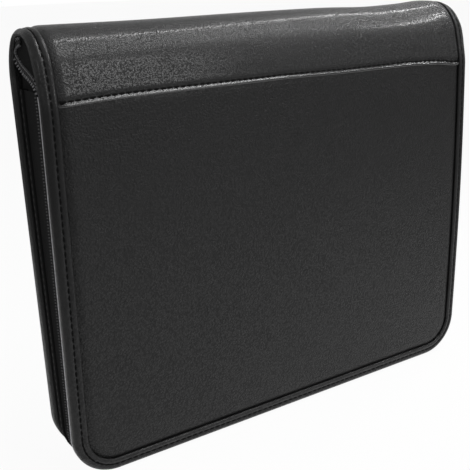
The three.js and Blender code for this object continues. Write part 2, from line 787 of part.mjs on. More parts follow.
function closedChain(frameAt, start, end) {
  const rows = [-1, 1].map((side) => toothRow(frameAt, start, end, side));
  return joined(...rows, chainStop(frameAt(end)));
}

finish('zip_end_left', closedChain(endFrame(-1), 0, zipCurve.getLength()), toothBlack, 0.35);

// Woven tape between the chain and the binding at a spine end
function endTape(side, reach) {
  const clear = chainWidth / 2 + layerGap - reach;
  const steps = 24;
  const frames = [];
  for (let i = 0; i <= steps; i += 1) {
    frames.push(endFrame(side)((zipCurve.getLength() - stopLength / 2 - layerGap) * i / steps));
  }
  const middles = frames.map((frame) => frame.at.clone());
  const places = frames.map((frame) => frame.at.addScaledVector(frame.across, -clear));
  const free = places.filter((place) => middles.every((middle) => middle.distanceTo(place) > clear - tapeSlack));
  const last = endFrame(side)(zipCurve.getLength());
  const tip = last.at.addScaledVector(last.across, -clear)
    .addScaledVector(zipCurve.getTangentAt(1), stopLength / 2 + layerGap);
  const route = [...free, tip].map((place) => [place.y, place.z]);
  const inside = archCurve(rimInner(frontRim) + layerGap, spineFoot, 10).filter(([y]) => y < tip.y);
  const outline = [...route, ...inside.reverse()];
  const x0 = side * (length / 2 - tapeInset);
  const x1 = side * (length / 2 - tapeInset - tapeThick);
  return alongSpine(outline, Math.min(x0, x1), Math.max(x0, x1));
}

finish('zip_end_tape_left', endTape(-1, 0), tapeBlack, 0.9);
finish('zip_end_tape_right', endTape(1, chainWidth / 2), tapeBlack, 0.9);

// Front cover
finish('front_binding', rimStrip(bindingSection(frontRim, frontLip), frontPlace, coverTop), leatherBlack, 0.45);

const tongueRoot = 6; // tongue grown out of the panel below the seam
const tongue = frontSheet(
  roundedShape(-spineTurn + layerGap, spineTurn - layerGap, lapHeight - tongueRoot, lapHeight + lapTuck, 1),
  fieldOut,
  fieldOut + leatherSkin,
  1,
);
finish('front_lower_panel', joined(
  trayPanel(frontSheet, lapHeight - layerGap),
  tongue,
), leatherBlack, 0.45);
finish('front_upper_panel', lapPanel(frontSheet, lapHeight), leatherBlack, 0.45);
finish('front_padding', frontSheet(paddingShape, paddingOut, boardOut - layerGap), foamGrey, 0.9);
finish('front_board', frontSheet(boardShape, boardOut, boardInner(frontRim)), boardGrey, 0.85);
finish('front_lining', liningSheet(frontSheet, frontRim), liningBlack, 0.7);

// The front tape lies on the inner leg of the binding, beside the lip
const frontTapeStart = bindingSide + layerGap;
const tapeOut = rimInner(frontRim) + layerGap;
const frontTapeSection = [
  [frontTapeStart, tapeOut],
  [frontTapeStart + frontTapeWidth, tapeOut],
  [frontTapeStart + frontTapeWidth, tapeOut + tapeThick],
  [tapeInset + tapeThick, tapeOut + tapeThick],
  [tapeInset + tapeThick, chainStart - layerGap],
  [tapeInset, chainStart - layerGap],
  [tapeInset, tapeOut + tapeThick],
  [frontTapeStart, tapeOut + tapeThick],
];
finish('front_zip_tape', rimStrip(frontTapeSection, frontPlace, stubTop), tapeBlack, 0.9);

finish('front_zip_teeth', toothRow(rimFrame(seamTop), 0, seamTravel, -1), toothBlack, 0.35);
finish('zip_stub_left', closedChain(stubFrame(-1), seamTop + layerGap, stubTop), toothBlack, 0.35);
const rightStubTop = sliderTop - sliderLength / 2;
finish('zip_stub_right', closedChain(stubFrame(1), seamTop + layerGap, rightStubTop), toothBlack, 0.35);

// Inside the front cover: document pocket, stepped card pockets and a pen loop
const pocketOut = onLining(frontRim);
finish(
  'document_pocket',
  frontSheet(pocketShape(pocketEnd, pocketTop), pocketOut, pocketOut + pocketSkin),
  leatherBlack,
  0.5,
);
for (let i = 0; i < cardCount; i += 1) {
  const out = pocketOut + (pocketSkin + layerGap) * (cardCount - i);
  const x0 = pocketMargin - length / 2 + cardSide;
  const x1 = x0 + cardReach + cardStep * i;
  const z1 = pocketTop - cardDrop;
  const shape = roundedShape(x0, x1, z1 - cardRise, z1, cardCorner);
  finish('card_pocket_' + (i + 1), frontSheet(shape, out, out + pocketSkin, 3), leatherBlack, 0.5);
}

function penLoop() {
  const outer = penBore / 2 + penWall;
  const x0 = pocketEnd + penLoopGap;
  const z = pocketTop / 2;
  const centre = yFront + pocketOut + outer;
  const steps = 16;
  const rings = [x0, x0 + penLoopLength].map((x) => {
    const ring = [];
    for (const radius of [outer, penBore / 2]) {
      const loop = [];
      for (let i = 0; i <= steps; i += 1) {
        const angle = (2 * Math.PI - penLoopSlit) * i / steps + (penLoopSlit - Math.PI) / 2;
        loop.push(new THREE.Vector3(x, centre + radius * Math.sin(angle), z + radius * Math.cos(angle)));
      }
      ring.push(...(radius === outer ? loop : loop.reverse()));
    }
    return ring;
  });
  return solidFromRings(rings, rings[0].map((p) => new THREE.Vector2(p.y, p.z)));
}

finish('pen_loop', penLoop(), leatherBlack, 0.5);

// Slider: two shells around the chain, and a pull on the bail of the outer one
const sliderMiddle = sliderTop - sliderLength / 2;
const sliderHalf = chainWidth / 2 + sliderGap + sliderFlange;

// A shape in Y and Z, centred on the slider, from one inset to another on the right side
function sliderSheet(shape, inset0, inset1) {
  const depth = inset1 - inset0;
  const geometry = new THREE.ExtrudeGeometry(shape, { depth, bevelEnabled: false, curveSegments: 3 });
  const turn = new THREE.Matrix4().makeBasis(
    new THREE.Vector3(0, 1, 0),
    new THREE.Vector3(0, 0, 1),
    new THREE.Vector3(1, 0, 0),
  );
  return geometry.applyMatrix4(turn).translate(length / 2 - inset1, yFront + chainMiddle, sliderMiddle);
}

function sliderShell(plateFrom, plateTo, flangeTo) {
  const halfLength = sliderLength / 2;
  const outline = roundedShape(-sliderHalf, sliderHalf, -halfLength, halfLength, sliderCorner);
  const low = Math.min(plateFrom, plateTo, flangeTo);
  const high = Math.max(plateFrom, plateTo, flangeTo);
  const channelHalf = sliderHalf - sliderFlange;
  const channel = roundedShape(-channelHalf, channelHalf, -sliderLength, sliderLength, 0.1);
  const [c0, c1] = plateTo < flangeTo ? [plateTo, flangeTo + 1] : [flangeTo - 1, plateTo];
  return cut(sliderSheet(outline, low, high), sliderSheet(channel, c0, c1));
}

const outerPlateIn = chainInset - sliderGap;
const outerPlateOut = outerPlateIn - sliderPlate;
const innerPlateIn = chainInset + chainThick + sliderGap;

function bail() {
  const half = bailSpan / 2;
  const foot = length / 2 - outerPlateOut;
  const outline = [
    [foot - 0.4, -half], [foot + bailRise + bailThick * 0.4, -half],
    [foot + bailRise + bailThick, -half + 1], [foot + bailRise + bailThick, half - 1],
    [foot + bailRise + bailThick * 0.4, half], [foot - 0.4, half], [foot - 0.4, half - bailThick],
    [foot + bailRise, half - bailThick], [foot + bailRise, -half + bailThick], [foot - 0.4, -half + bailThick],
  ];
  const rings = [-bailWidth / 2, bailWidth / 2].map((y) =>
    outline.map(([x, z]) => new THREE.Vector3(x, yFront + chainMiddle + y, sliderMiddle + z)));
  return solidFromRings(rings, outline.map(([x, z]) => new THREE.Vector2(x, z)));
}

finish(
  'zip_slider',
  joined(sliderShell(outerPlateOut, outerPlateIn, tapeInset - sliderGap), bail()),
  toothBlack,
  0.3,
  0.9,
);
finish(
  'zip_slider_inner',
  sliderShell(innerPlateIn + sliderPlate, innerPlateIn, tapeInset + tapeThick + sliderGap),
  toothBlack,
  0.3,
  0.9,
);

function pull() {
  const top = bailSpan / 2 - bailThick - 0.35;
  const shape = roundedShape(-pullWidth / 2, pullWidth / 2, top - pullLength, top, pullCorner);
  const eye = new THREE.Path();
  const eyeTop = top - pullBar;
  eye.moveTo(-pullEyeWidth / 2, eyeTop);
  eye.lineTo(pullEyeWidth / 2, eyeTop);
  eye.lineTo(pullEyeWidth / 2, eyeTop - pullEyeLength);
  eye.lineTo(-pullEyeWidth / 2, eyeTop - pullEyeLength);
  shape.holes.push(eye);
  const inner = outerPlateOut - (bailRise - pullThick) / 2;
  return sliderSheet(shape, inner - pullThick, inner);
}

finish('zip_pull', pull(), toothBlack, 0.3, 0.9);

// The right side leans in from the corner up to the hinges, and the spine is shorter by as much.
// Leather and tape follow. The spine core with its ring mechanism, and the slider, move as they are.
function leanIn(x, z) {
  const share = Math.min(1, Math.max(0, (z - cornerRadius) / (hingeHeight - cornerRadius)));
  return -sideLean * share * (x / length + 0.5);
}

const coreMove = leanIn(0, height);
const sliderMove = leanIn(length / 2, sliderMiddle);
const moveWhole = (name) => {
  if (name.startsWith('ring_') || ['spine_padding', 'spine_board', 'spine_lining'].includes(name)) {
    return coreMove;
  }
  return ['zip_slider', 'zip_slider_inner', 'zip_pull'].includes(name) ? sliderMove : undefined;
};
for (const mesh of meshes.children) {
  const place = mesh.geometry.getAttribute('position');
  const whole = moveWhole(mesh.name);
  for (let i = 0; i < place.count; i += 1) {
    place.setX(i, place.getX(i) + (whole ?? leanIn(place.getX(i), place.getZ(i))));
  }
}

export default meshes;
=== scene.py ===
# %% [markdown]
# # A zip-around leather folder
# The folder stands closed on its fore edges, with its round spine on top. The measured frame comes
# from the packed CAD model, and this script dresses it: grained leather, stitched binding, woven
# zip tape, a fine chain, and the fittings inside. Everything is in metres, in the frame of the CAD.

# %% Load the frame
import json
import math
import bpy
import numpy as np
from mathutils import Matrix, Vector


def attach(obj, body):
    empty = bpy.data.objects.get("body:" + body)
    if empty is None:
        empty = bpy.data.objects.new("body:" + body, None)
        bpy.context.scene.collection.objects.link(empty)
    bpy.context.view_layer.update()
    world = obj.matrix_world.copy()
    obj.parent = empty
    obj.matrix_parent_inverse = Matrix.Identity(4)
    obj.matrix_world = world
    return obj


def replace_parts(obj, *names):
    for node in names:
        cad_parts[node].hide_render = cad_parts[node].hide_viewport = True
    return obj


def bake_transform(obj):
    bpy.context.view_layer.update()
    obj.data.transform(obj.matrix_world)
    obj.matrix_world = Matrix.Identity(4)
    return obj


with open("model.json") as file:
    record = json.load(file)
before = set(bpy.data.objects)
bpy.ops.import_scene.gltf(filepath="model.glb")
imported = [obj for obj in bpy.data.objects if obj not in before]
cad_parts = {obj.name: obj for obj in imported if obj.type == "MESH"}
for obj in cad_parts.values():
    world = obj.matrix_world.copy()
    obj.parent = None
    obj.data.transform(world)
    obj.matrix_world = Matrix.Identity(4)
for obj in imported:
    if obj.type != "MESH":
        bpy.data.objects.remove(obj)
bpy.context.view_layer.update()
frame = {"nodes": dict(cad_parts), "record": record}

MM = 0.001

# %% [markdown]
# ## Sizes
# The same sizes as in the CAD, in millimetres. The front cover is upright, the rear cover leans
# back, and the spine is an arch between them, wider in front than at the back. What the folder
# does beyond the CAD, such as its seam that hangs at the ends, has its own values here.

# %% Sizes
LENGTH, HINGE, TOP, CORNER = 343.0, 254.0, 283.6, 30.0
FRONT_Y, REAR_Y = -27.25, 27.25
REAR_FOOT, LEAN = 13.75, 13.5 / 254.0
ARCH_FRONT, ARCH_REAR, ARCH_RISE = 27.45, 22.25, 29.6
CROWN_Y, SIDE_LEAN = 2.6, 5.0
LAP_FRONT, LAP_REAR = 242.7, 247.0
CHAIN_MIDDLE, CHAIN_SHIFT = 13.2, 0.9
SEAM_TOP, STUB_TOP = 218.0, 244.5
STITCH_PITCH = 4.6
SIDE = LENGTH / 2
EXTRA_DEPTH = 1.9  # the spine is packed this much deeper than its boards
# x along the front seam, and how far it hangs there
SEAM_DIP = ((-163, -134, -112, -2, 50, 107, 138, 155), (1.6, 0.4, 0.0, 0.0, 0.9, 1.0, 2.2, 4.4))
print("folder", LENGTH, "x", REAR_Y - FRONT_Y, "x", TOP, "mm")

# %% [markdown]
# ## The route round a cover
# Every strip, stitch and zip tooth follows the same route: from the crown of the spine down one
# side, round the two lower corners and up the other side. A route is a table of places, each with
# the direction inwards across the leather (N) and the direction down into the folder (D).

# %% Routes


def cover_y(front, z, depth=0.0):
    """Y at a depth below the outer face of a cover."""
    return FRONT_Y + depth + 0 * z if front else REAR_FOOT + LEAN * z - depth


def make_route(front):
    """Table of places round the front or rear cover: travel, place, N and D, in mm."""
    turn = -1 if front else 1
    reach = ARCH_FRONT if front else ARCH_REAR
    arch_y = FRONT_Y + reach if front else REAR_Y - reach
    crown = [(CROWN_Y, TOP, 90.0)] + [(arch_y + turn * reach * math.cos(math.radians(a)),
                                       HINGE + ARCH_RISE * math.sin(math.radians(a)), a)
                                      for a in np.arange(90, -0.1, -3)]

    def arch(side):
        return [((side * SIDE, y, z), (-side, 0, 0),
                 (0, -turn * math.cos(math.radians(a)), -math.sin(math.radians(a)))) for y, z, a in crown[::-side]]
    middle = SIDE - CORNER
    bend = [(math.cos(a), math.sin(a)) for a in np.linspace(0, math.pi / 2, 31)]
    rim = [(-SIDE, z, 1, 0) for z in np.arange(HINGE - 2, CORNER, -2)]
    rim += [(-middle - CORNER * c, CORNER - CORNER * s, c, s) for c, s in bend]
    rim += [(x, 0, 0, 1) for x in np.arange(-middle + 2, middle, 2)]
    rim += [(middle + CORNER * s, CORNER - CORNER * c, -s, c) for c, s in bend]
    rim += [(SIDE, z, -1, 0) for z in np.arange(CORNER + 2, HINGE, 2)]
    lean = 0 if front else LEAN
    cover = [((x, cover_y(front, z), z), (nx, lean * nz, nz), (0, -turn, 0)) for x, z, nx, nz in rim]
    places, inward, down = [np.array(part, float) for part in zip(*(arch(-1) + cover + arch(1)))]
    travel = np.concatenate([[0], np.cumsum(np.linalg.norm(np.diff(places, axis=0), axis=1))])
    return {"travel": travel, "P": places, "N": inward, "D": down}


def along(route, travel, n, depth):
    """Places at a travel along the route, n inwards and depth down, as arrays."""
    out = []
    for axis in range(3):
        values = [np.interp(travel, route["travel"], route[key][:, axis]) for key in "PND"]
        out.append(values[0] + n * values[1] + depth * values[2])
    return out


front_route, rear_route = make_route(True), make_route(False)


def travel_at(route, z, right):
    """Travel at which the route passes height z on its left or right side."""
    half = len(route["travel"]) // 2
    heights = route["P"][:, 2]
    if right:
        return float(np.interp(z, heights[half:], route["travel"][half:]))
    return float(np.interp(-z, -heights[:half], route["travel"][:half]))


def between(route, z):
    """Travel from height z on the left side to the same height on the right."""
    return travel_at(route, z, False), travel_at(route, z, True)


print("front route", round(front_route["travel"][-1]), "mm, rear route", round(rear_route["travel"][-1]), "mm")

# %% [markdown]
# ## Wires
# Materials here are written as sums. A Wire holds one output of a node, and adding or multiplying
# wires adds the Math nodes, so a finish reads like a recipe.

# %% Wires


class Wire:
    """One output socket; arithmetic on it adds Math nodes."""

    def __init__(self, tree, socket):
        self.tree, self.socket = tree, socket

    def math(self, operation, first, second=0.0, clamp=False):
        node = self.tree.nodes.new("ShaderNodeMath")
        node.operation, node.use_clamp = operation, clamp
        for slot, value in zip(node.inputs, (first, second)):
            if isinstance(value, Wire):
                self.tree.links.new(value.socket, slot)
            else:
                slot.default_value = value
        return Wire(self.tree, node.outputs[0])

    def __add__(self, other): return self.math("ADD", self, other)
    def __radd__(self, other): return self.math("ADD", other, self)
    def __sub__(self, other): return self.math("SUBTRACT", self, other)
    def __rsub__(self, other): return self.math("SUBTRACT", other, self)
    def __mul__(self, other): return self.math("MULTIPLY", self, other)
    def __rmul__(self, other): return self.math("MULTIPLY", other, self)
    def clamp(self): return self.math("ADD", self, 0.0, clamp=True)
    def sine(self): return self.math("SINE", self)


print("beside + - and *, a wire has:", [name for name in vars(Wire) if not name.startswith("_")])

# %% [markdown]
# ## A finish under construction
# A Finish is a new material with its Principled shader. It makes nodes, feeds the inputs of the
# shader with wires or plain numbers, and adds the bump.

# %% Finish helper


class Finish:
    """A material under construction, with its Principled shader."""

    def __init__(self, name):
        self.material = bpy.data.materials.new(name)
        self.material.use_nodes = True
        self.tree = self.material.node_tree
        self.shader = self.tree.nodes["Principled BSDF"]

    def node(self, kind, settings=(), inputs=(), out=0):
        made = self.tree.nodes.new("ShaderNode" + kind)
        for key, value in dict(settings).items():
            setattr(made, key, value)
        for key, value in dict(inputs).items():
            if isinstance(value, Wire):
                self.tree.links.new(value.socket, made.inputs[key])
            else:
                made.inputs[key].default_value = value
        return Wire(self.tree, made.outputs[out])

    def ramp(self, factor, stops):
        wire = self.node("ValToRGB", inputs={0: factor})
        for element, (place, colour) in zip(wire.socket.node.color_ramp.elements, stops):
            element.position, element.color = place, (*colour, 1.0)
        return wire

    def split(self, vector):
        first = self.node("SeparateXYZ", inputs={0: vector})
        return [Wire(self.tree, part) for part in first.socket.node.outputs]

    def place(self):
        return self.node("TexCoord", out="Object")

    def uv(self):
        return self.node("UVMap")

    def feed(self, **inputs):
        for key, value in inputs.items():
            slot = self.shader.inputs[key.replace("_", " ")]
            if isinstance(value, Wire):
                self.tree.links.new(value.socket, slot)
            else:
                slot.default_value = value
        return self

    def bump(self, height, distance, strength=1.0):
        normal = self.node("Bump", inputs={"Height": height, "Distance": distance, "Strength": strength})
        return self.feed(Normal=normal)


def grey(tone, cool=1.0):
    """A grey, with a little more blue where cool is above 1."""
    return tone, tone, tone * cool


print("a finish can:", [name for name in vars(Finish) if not name.startswith("_")])

# %% [markdown]
# ## Leather
# The hide is black with a fine pebbled grain. Two sizes of cells make the pebbles, a slow noise
# makes them deeper in one place than in another, and the pebble tops are a little smoother than
# the valleys, so a soft light breaks up into small sparks.

# %% Leather


def leather(name, tone, rough, grain=1.0, cell=1.7, gloss=0.25, worn=0.0, fold=0.0, shine=0.26):
    """Black leather: tone is its brightness, grain the depth of the pebbles, cell their size in mm,
    gloss the wax on the pebble tops, worn how much smoother it gets towards the right end, fold
    how much smoother along the turned edge where the UV map starts, and shine how much it mirrors."""
    f = Finish(name)
    place = f.place()
    drift = f.node("TexNoise", inputs={"Vector": place, "Scale": 300.0, "Detail": 1.0}, out="Color")
    bend = f.node("VectorMath", {"operation": "MULTIPLY_ADD"},
                  {0: drift, 1: (0.001, 0.001, 0.001), 2: place})
    pebble = f.node("TexVoronoi", {"feature": "SMOOTH_F1"},
                    {"Vector": bend, "Scale": 1000.0 / cell, "Smoothness": 0.3}, out="Distance")
    fine = f.node("TexVoronoi", {"feature": "F1"}, {"Vector": bend, "Scale": 2600.0 / cell}, out="Distance")
    slow = f.node("TexNoise", inputs={"Vector": place, "Scale": 30.0, "Detail": 2.0}, out="Fac")
    wide = f.node("TexNoise", inputs={"Vector": place, "Scale": 9.0, "Detail": 2.0}, out="Fac")
    rubbed = (f.split(place)[0] * 3.0 + 0.5).clamp() * worn
    turned = (1.6 - f.split(f.uv())[1] * 0.22).clamp() * fold
    rubbed = rubbed + turned * 0.2
    depth = ((slow * 2.0 - 0.6).clamp() * 0.7 + 0.4) * (1.0 - rubbed * 5.0).clamp()
    height = (1.0 - pebble) * depth + (1.0 - fine) * (0.3 - turned * 0.28)
    shade = (wide * 0.8 + pebble * 0.5 - 0.2).clamp()
    f.feed(Base_Color=f.ramp(shade, [(0.0, grey(tone, 1.03)), (1.0, grey(tone * 1.6, 1.65 / 1.6))]))
    f.feed(Roughness=pebble * 0.2 + (slow * 0.12 + (rough - 0.12)) - rubbed)
    f.feed(Coat_Weight=((0.62 - pebble) * 3.0).clamp() * gloss + turned * 0.8, Coat_Roughness=0.2)
    f.feed(Specular_IOR_Level=shine)
    f.bump(height, 0.0003 * grain)
    return f.material


hide = leather("cover_hide", 0.005, 0.36, grain=1.9, cell=1.4, gloss=0.28)
spine_hide = leather("spine_hide", 0.007, 0.38, grain=1.25, cell=0.85, gloss=0.6, worn=0.16, fold=1.0)
strip_hide = leather("binding_hide", 0.006, 0.36, grain=0.8, cell=1.3, gloss=0.3)
inner_hide = leather("inner_hide", 0.012, 0.5, grain=0.7, gloss=0.1)
gusset_hide = leather("gusset_hide", 0.005, 0.8, grain=0.8, gloss=0.0, shine=0.12)
print("leather finishes:", [m.name for m in (hide, spine_hide, strip_hide, inner_hide, gusset_hide)])

# %% [markdown]
# ## Thread and cloth
# The thread is a twisted black cord. The zip tape is a twill: two waves at an angle in its UV map,
# which is in millimetres along and across the tape. The lining is a finer and paler weave.

# %% Thread and cloth


def thread_finish():
    f = Finish("stitch_thread")
    twist = f.node("TexWave", {"wave_type": "BANDS", "bands_direction": "DIAGONAL"},
                   {"Vector": f.place(), "Scale": 900.0, "Distortion": 0.4})
    f.feed(Base_Color=f.ramp(twist, [(0.0, grey(0.002)), (1.0, grey(0.006))]))
    f.feed(Roughness=twist * 0.1 + 0.8, Specular_IOR_Level=0.1)
    f.bump(twist, 0.0001)
    return f.material


def weave_finish(name, low, high, pitch, slope=1.0):
    """Twill cloth on a UV map in millimetres."""
    f = Finish(name)
    u, v, _ = f.split(f.uv())
    turn = 2 * math.pi / pitch  # one rib each pitch
    rib = ((u * slope + v) * turn).sine() * 0.5 + 0.5
    cross = ((u - v * 0.6) * (turn * 2.0)).sine() * 0.5 + 0.5
    fuzz = f.node("TexNoise", inputs={"Vector": f.place(), "Scale": 1500.0, "Detail": 2.0}, out="Fac")
    height = rib * 0.7 + cross * 0.3 + fuzz * 0.3
    f.feed(Base_Color=f.ramp((height * 0.75).clamp(), [(0.1, grey(low)), (0.9, grey(high, 1.03))]))
    f.feed(Roughness=fuzz * 0.2 + 0.75, Specular_IOR_Level=0.15)
    f.bump(height, 0.00025)
    return f.material


thread = thread_finish()
tape_cloth = weave_finish("zip_tape_cloth", 0.002, 0.014, 1.3)
lining_cloth = weave_finish("lining_cloth", 0.010, 0.035, 0.9, slope=-1.0)
print("thread and cloth:", [m.name for m in (thread, tape_cloth, lining_cloth)])

# %% [markdown]
# ## Plastic, metal and card
# The chain is matt black plastic. Its heads are paler, a painted highlight, brightest at the zip end,
# where the light falls on them. The slider is black enamel, and the ring mechanism bright nickel with
# faint brushing. The boards and the wadding inside are fibrous.

# %% Plastic, metal and card


def plastic_finish(name, tone, rough):
    f = Finish(name)
    mottle = f.node("TexNoise", inputs={"Vector": f.place(), "Scale": 700.0, "Detail": 3.0}, out="Fac")
    f.feed(Base_Color=f.ramp(mottle, [(0.2, grey(tone)), (0.8, grey(tone * 1.8, 1.9 / 1.8))]))
    f.feed(Roughness=mottle * 0.15 + rough)
    f.bump(mottle, 0.00004)
    return f.material


def metal_finish(name, tone, rough, metallic):
    f = Finish(name)
    brushed = f.node("Mapping", inputs={"Vector": f.place(), "Scale": (40.0, 900.0, 900.0)})
    lines = f.node("TexNoise", inputs={"Vector": brushed, "Scale": 1.0, "Detail": 3.0}, out="Fac")
    f.feed(Base_Color=f.ramp(lines, [(0.2, grey(tone * 0.85)), (0.8, grey(tone, 1.02))]))
    f.feed(Roughness=lines * 0.12 + rough, Metallic=metallic)
    f.bump(lines, 0.00002)
    return f.material


def card_finish(name, low, high):
    f = Finish(name)
    fibre = f.node("TexNoise", inputs={"Vector": f.place(), "Scale": 900.0, "Detail": 5.0}, out="Fac")
    f.feed(Base_Color=f.ramp(fibre, [(0.2, low), (0.8, high)]), Roughness=fibre * 0.1 + 0.8)
    f.bump(fibre, 0.0001)
    return f.material


tooth_plastic = plastic_finish("zip_tooth", 0.005, 0.6)
# the paler tone of the tooth heads is a painted highlight
tooth_highlight = plastic_finish("zip_tooth_highlight", 0.045, 0.42)
# a brighter painted highlight for the tooth heads at the zip end, where the light falls
end_highlight = plastic_finish("zip_end_highlight", 0.13, 0.3)
# pale grey: a painted highlight for the light that the rim's rear ridge catches
rim_edge_highlight = plastic_finish("rim_edge_highlight", 0.42, 0.3)
enamel = metal_finish("black_enamel", 0.05, 0.2, 0.6)
nickel = metal_finish("bright_nickel", 0.75, 0.14, 1.0)
board_card = card_finish("fibre_board", (0.020, 0.019, 0.018), (0.045, 0.043, 0.040))
wadding = card_finish("felt_wadding", grey(0.03), grey(0.06))
print("hard finishes:", [m.name for m in (tooth_plastic, tooth_highlight, end_highlight, rim_edge_highlight, enamel, nickel)])

# %% [markdown]
# ## Posture
# The CAD stands straight, and the real folder doesn't: it leans, bulges and sinks a little. Every
# piece is first laid on the straight form and then moved by one of these rules, so that neighbours
# stay together.

# %% Posture


def smooth(value, low, high):
    """0 below low, 1 above high, and a soft curve between."""
    share = np.clip((value - low) / (high - low), 0, 1)
    return share * share * (3 - 2 * share)


def lean_in(x, y, z):
    """The right side of the folder leans in, as its CAD does."""
    side = np.clip((np.asarray(z, float) - CORNER) / (HINGE - CORNER), 0, 1)
    return x - SIDE_LEAN * side * (np.asarray(x, float) / LENGTH + 0.5), y, z


def settle(x, y, z, bulging=1.0):
    """The folder's own posture: it is packed a little deeper than its boards, the right side leans in
    and bulges, the front sinks back above the seam, the crown lifts before its right end, and the
    rear lower left corner curls up."""
    x, y, z = [np.asarray(part, float) for part in (x, y, z)]
    side = np.clip((z - CORNER) / (HINGE - CORNER), 0, 1)
    top = np.clip((z - HINGE) / (TOP - HINGE), 0, 1)
    across = x / LENGTH + 0.5
    bulge = bulging * across ** 4 * (2.4 * np.sin(math.pi * side) - 0.6 * top)
    sink = 2.9 * smooth(z, 238, 262) * np.clip(-y / 20, 0, 1)
    deepen = EXTRA_DEPTH * smooth(y, -12, 14)
    lift = 1.1 * np.exp(-((x - 150) / 14) ** 2) - 1.1 * np.exp(-((x - 95) / 28) ** 2)
    droop = 1.5 * np.clip((x - 163) / 8, 0, 1) ** 1.5
    wave = 0.3 * np.sin(x / 31 + 0.6) * np.cos(y / 17)
    curl = 4.5 * (1 - smooth(x, -SIDE, 0)) * (1 - smooth(z, 0, 90)) * smooth(y, -8, 12)
    return lean_in(x, y, z)[0] + bulge, y + sink + deepen, z + smooth(top, 0.2, 1.0) * (lift - droop + wave) + curl


def settle_zip(x, y, z):
    """The zip keeps straight at the right side, where the slider runs."""
    return settle(x, y, z, bulging=0.0)


print("the crown's middle settles to", [round(float(c), 1) for c in settle(0, CROWN_Y, TOP)])

# %% [markdown]
# ## Laying a sheet
# Leather is cut flat and laid over a form. So each piece starts as Blender's flat grid, and every
# corner of the grid is moved to its place on the folder. The UV map is written in millimetres of
# cloth, and a Solidify modifier gives the sheet its thickness, inwards from the face.

# %% Laying a sheet
SMOOTH_BELOW = math.radians(50)  # sharper edges stay sharp


def clear_selection():
    if bpy.context.object and bpy.context.object.mode != "OBJECT":
        bpy.ops.object.mode_set(mode="OBJECT")
    bpy.ops.object.select_all(action="DESELECT")


def select_only(*pieces):
    clear_selection()
    for piece in pieces:
        piece.select_set(True)
    bpy.context.view_layer.objects.active = pieces[-1]


def lay_sheet(name, cols, rows, lay, facing, thick=0.9, posture=settle):
    """A grid laid in place: lay(a, b) gives x, y, z and two lengths in mm, for a and b from 0 to 1.
    The posture then bends it, and it is turned over where its first rows face the wrong way."""
    clear_selection()
    bpy.ops.mesh.primitive_grid_add(x_subdivisions=cols, y_subdivisions=rows, size=1.0)
    piece = bpy.context.object
    piece.name = piece.data.name = name
    mesh = piece.data
    flat = np.zeros(len(mesh.vertices) * 3)
    mesh.vertices.foreach_get("co", flat)
    a, b = flat[0::3] + 0.5, flat[1::3] + 0.5
    x, y, z, u, v = [np.broadcast_to(part, a.shape) for part in lay(a, b)]
    if posture:
        x, y, z = posture(x, y, z)
    mesh.vertices.foreach_set("co", (np.stack([x, y, z], 1) * MM).ravel())
    corners = np.zeros(len(mesh.loops), int)
    mesh.loops.foreach_get("vertex_index", corners)
    mesh.uv_layers[0].data.foreach_set("uv", np.stack([u[corners], v[corners]], 1).ravel())
    mesh.update()
    start = [p for p in mesh.polygons if b[p.vertices[0]] < 0.25]
    if sum(p.normal.dot(Vector(facing(p.center) if callable(facing) else facing)) * p.area for p in start) < 0:
        mesh.flip_normals()
    if thick:
        shell = piece.modifiers.new("leather", "SOLIDIFY")
        shell.thickness, shell.offset = thick * MM, -1.0
        bpy.ops.object.modifier_apply(modifier=shell.name)
    bpy.ops.object.shade_smooth_by_angle(angle=SMOOTH_BELOW)
    return piece


def outwards(centre):
    """Facing of a strip that goes round both sides: to the left on the left, to the right on the right."""
    return math.copysign(1, centre[0]), 0, 0


print("edges above", round(math.degrees(SMOOTH_BELOW)), "degrees stay sharp")

# %% [markdown] ## Sections and finishing A section is a line of points, drawn with sharp corners,
# then softened, then turned into a function of 0 to 1.

# %% Sections and finishing


def soften(points, rounds=2):
    """Cuts the corners of a line of points, as a folded edge is never sharp."""
    line = np.array(points, float)
    for _ in range(rounds):
        left, right = line[:-1] * 0.75 + line[1:] * 0.25, line[:-1] * 0.25 + line[1:] * 0.75
        line = np.concatenate([line[:1], np.stack([left, right], 1).reshape(-1, line.shape[1]), line[-1:]])
    return line


def ruled(line):
    """Turns a line of points into a function of 0 to 1, with its length as the last column."""
    length = np.concatenate([[0], np.cumsum(np.linalg.norm(np.diff(line, axis=0), axis=1))])
    return lambda b: [np.interp(b * length[-1], length, line[:, k]) for k in range(line.shape[1])] + [b * length[-1]]


def finish_piece(piece, material, body=None, head=None):
    """Gives a piece its finish, the marked faces of a chain their painted highlight, and says what it rides on."""
    marks = [p.material_index for p in piece.data.polygons]
    piece.data.materials.clear()
    piece.data.materials.append(material)
    # the marked faces take a second material, the painted highlight on the tooth heads
    if any(marks):
        piece.data.materials.append(head or tooth_highlight)
        piece.data.polygons.foreach_set("material_index", marks)
    if body:
        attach(piece, body)
    return piece


print("a softened corner has", len(soften([(0, 0), (1, 0), (1, 1)])), "points")

# %% [markdown]
# ## Edge binding
# One strip of leather is folded over the rim of the front cover and runs on over both ends of the
# spine. Its section goes from the cut edge on the face, over the row of stitches that pulls it
# down, round the side and back inside. The strip is gathered at the lower corners, where two small
# pleats show.

# %% Edge binding
# each point is n across the leather and depth down, from the cut edge to the rim and round inside
FACE = [(9.2, 2.6), (9.25, 1.5), (8.8, 0.75), (7.9, 0.45), (6.7, 0.6), (5.7, 1.15), (5.2, 1.45), (4.7, 1.35),
        (3.7, 0.95), (2.5, 1.25), (1.3, 2.1), (0.45, 3.2), (0.05, 4.4)]
front_section = ruled(soften(FACE + [(0.0, 6.2), (0.25, 7.4), (1.5, 7.8), (9.0, 7.8)]))
rear_section = ruled(soften(FACE + [(0.0, 8.0), (0.5, 9.8), (1.8, 10.6), (9.0, 10.6)]))
PLEATS = ((0.50, 0.8), (0.72, 0.65))  # share of the way round a corner, and depth
STRIP_COLS, STRIP_ROWS = 430, 54


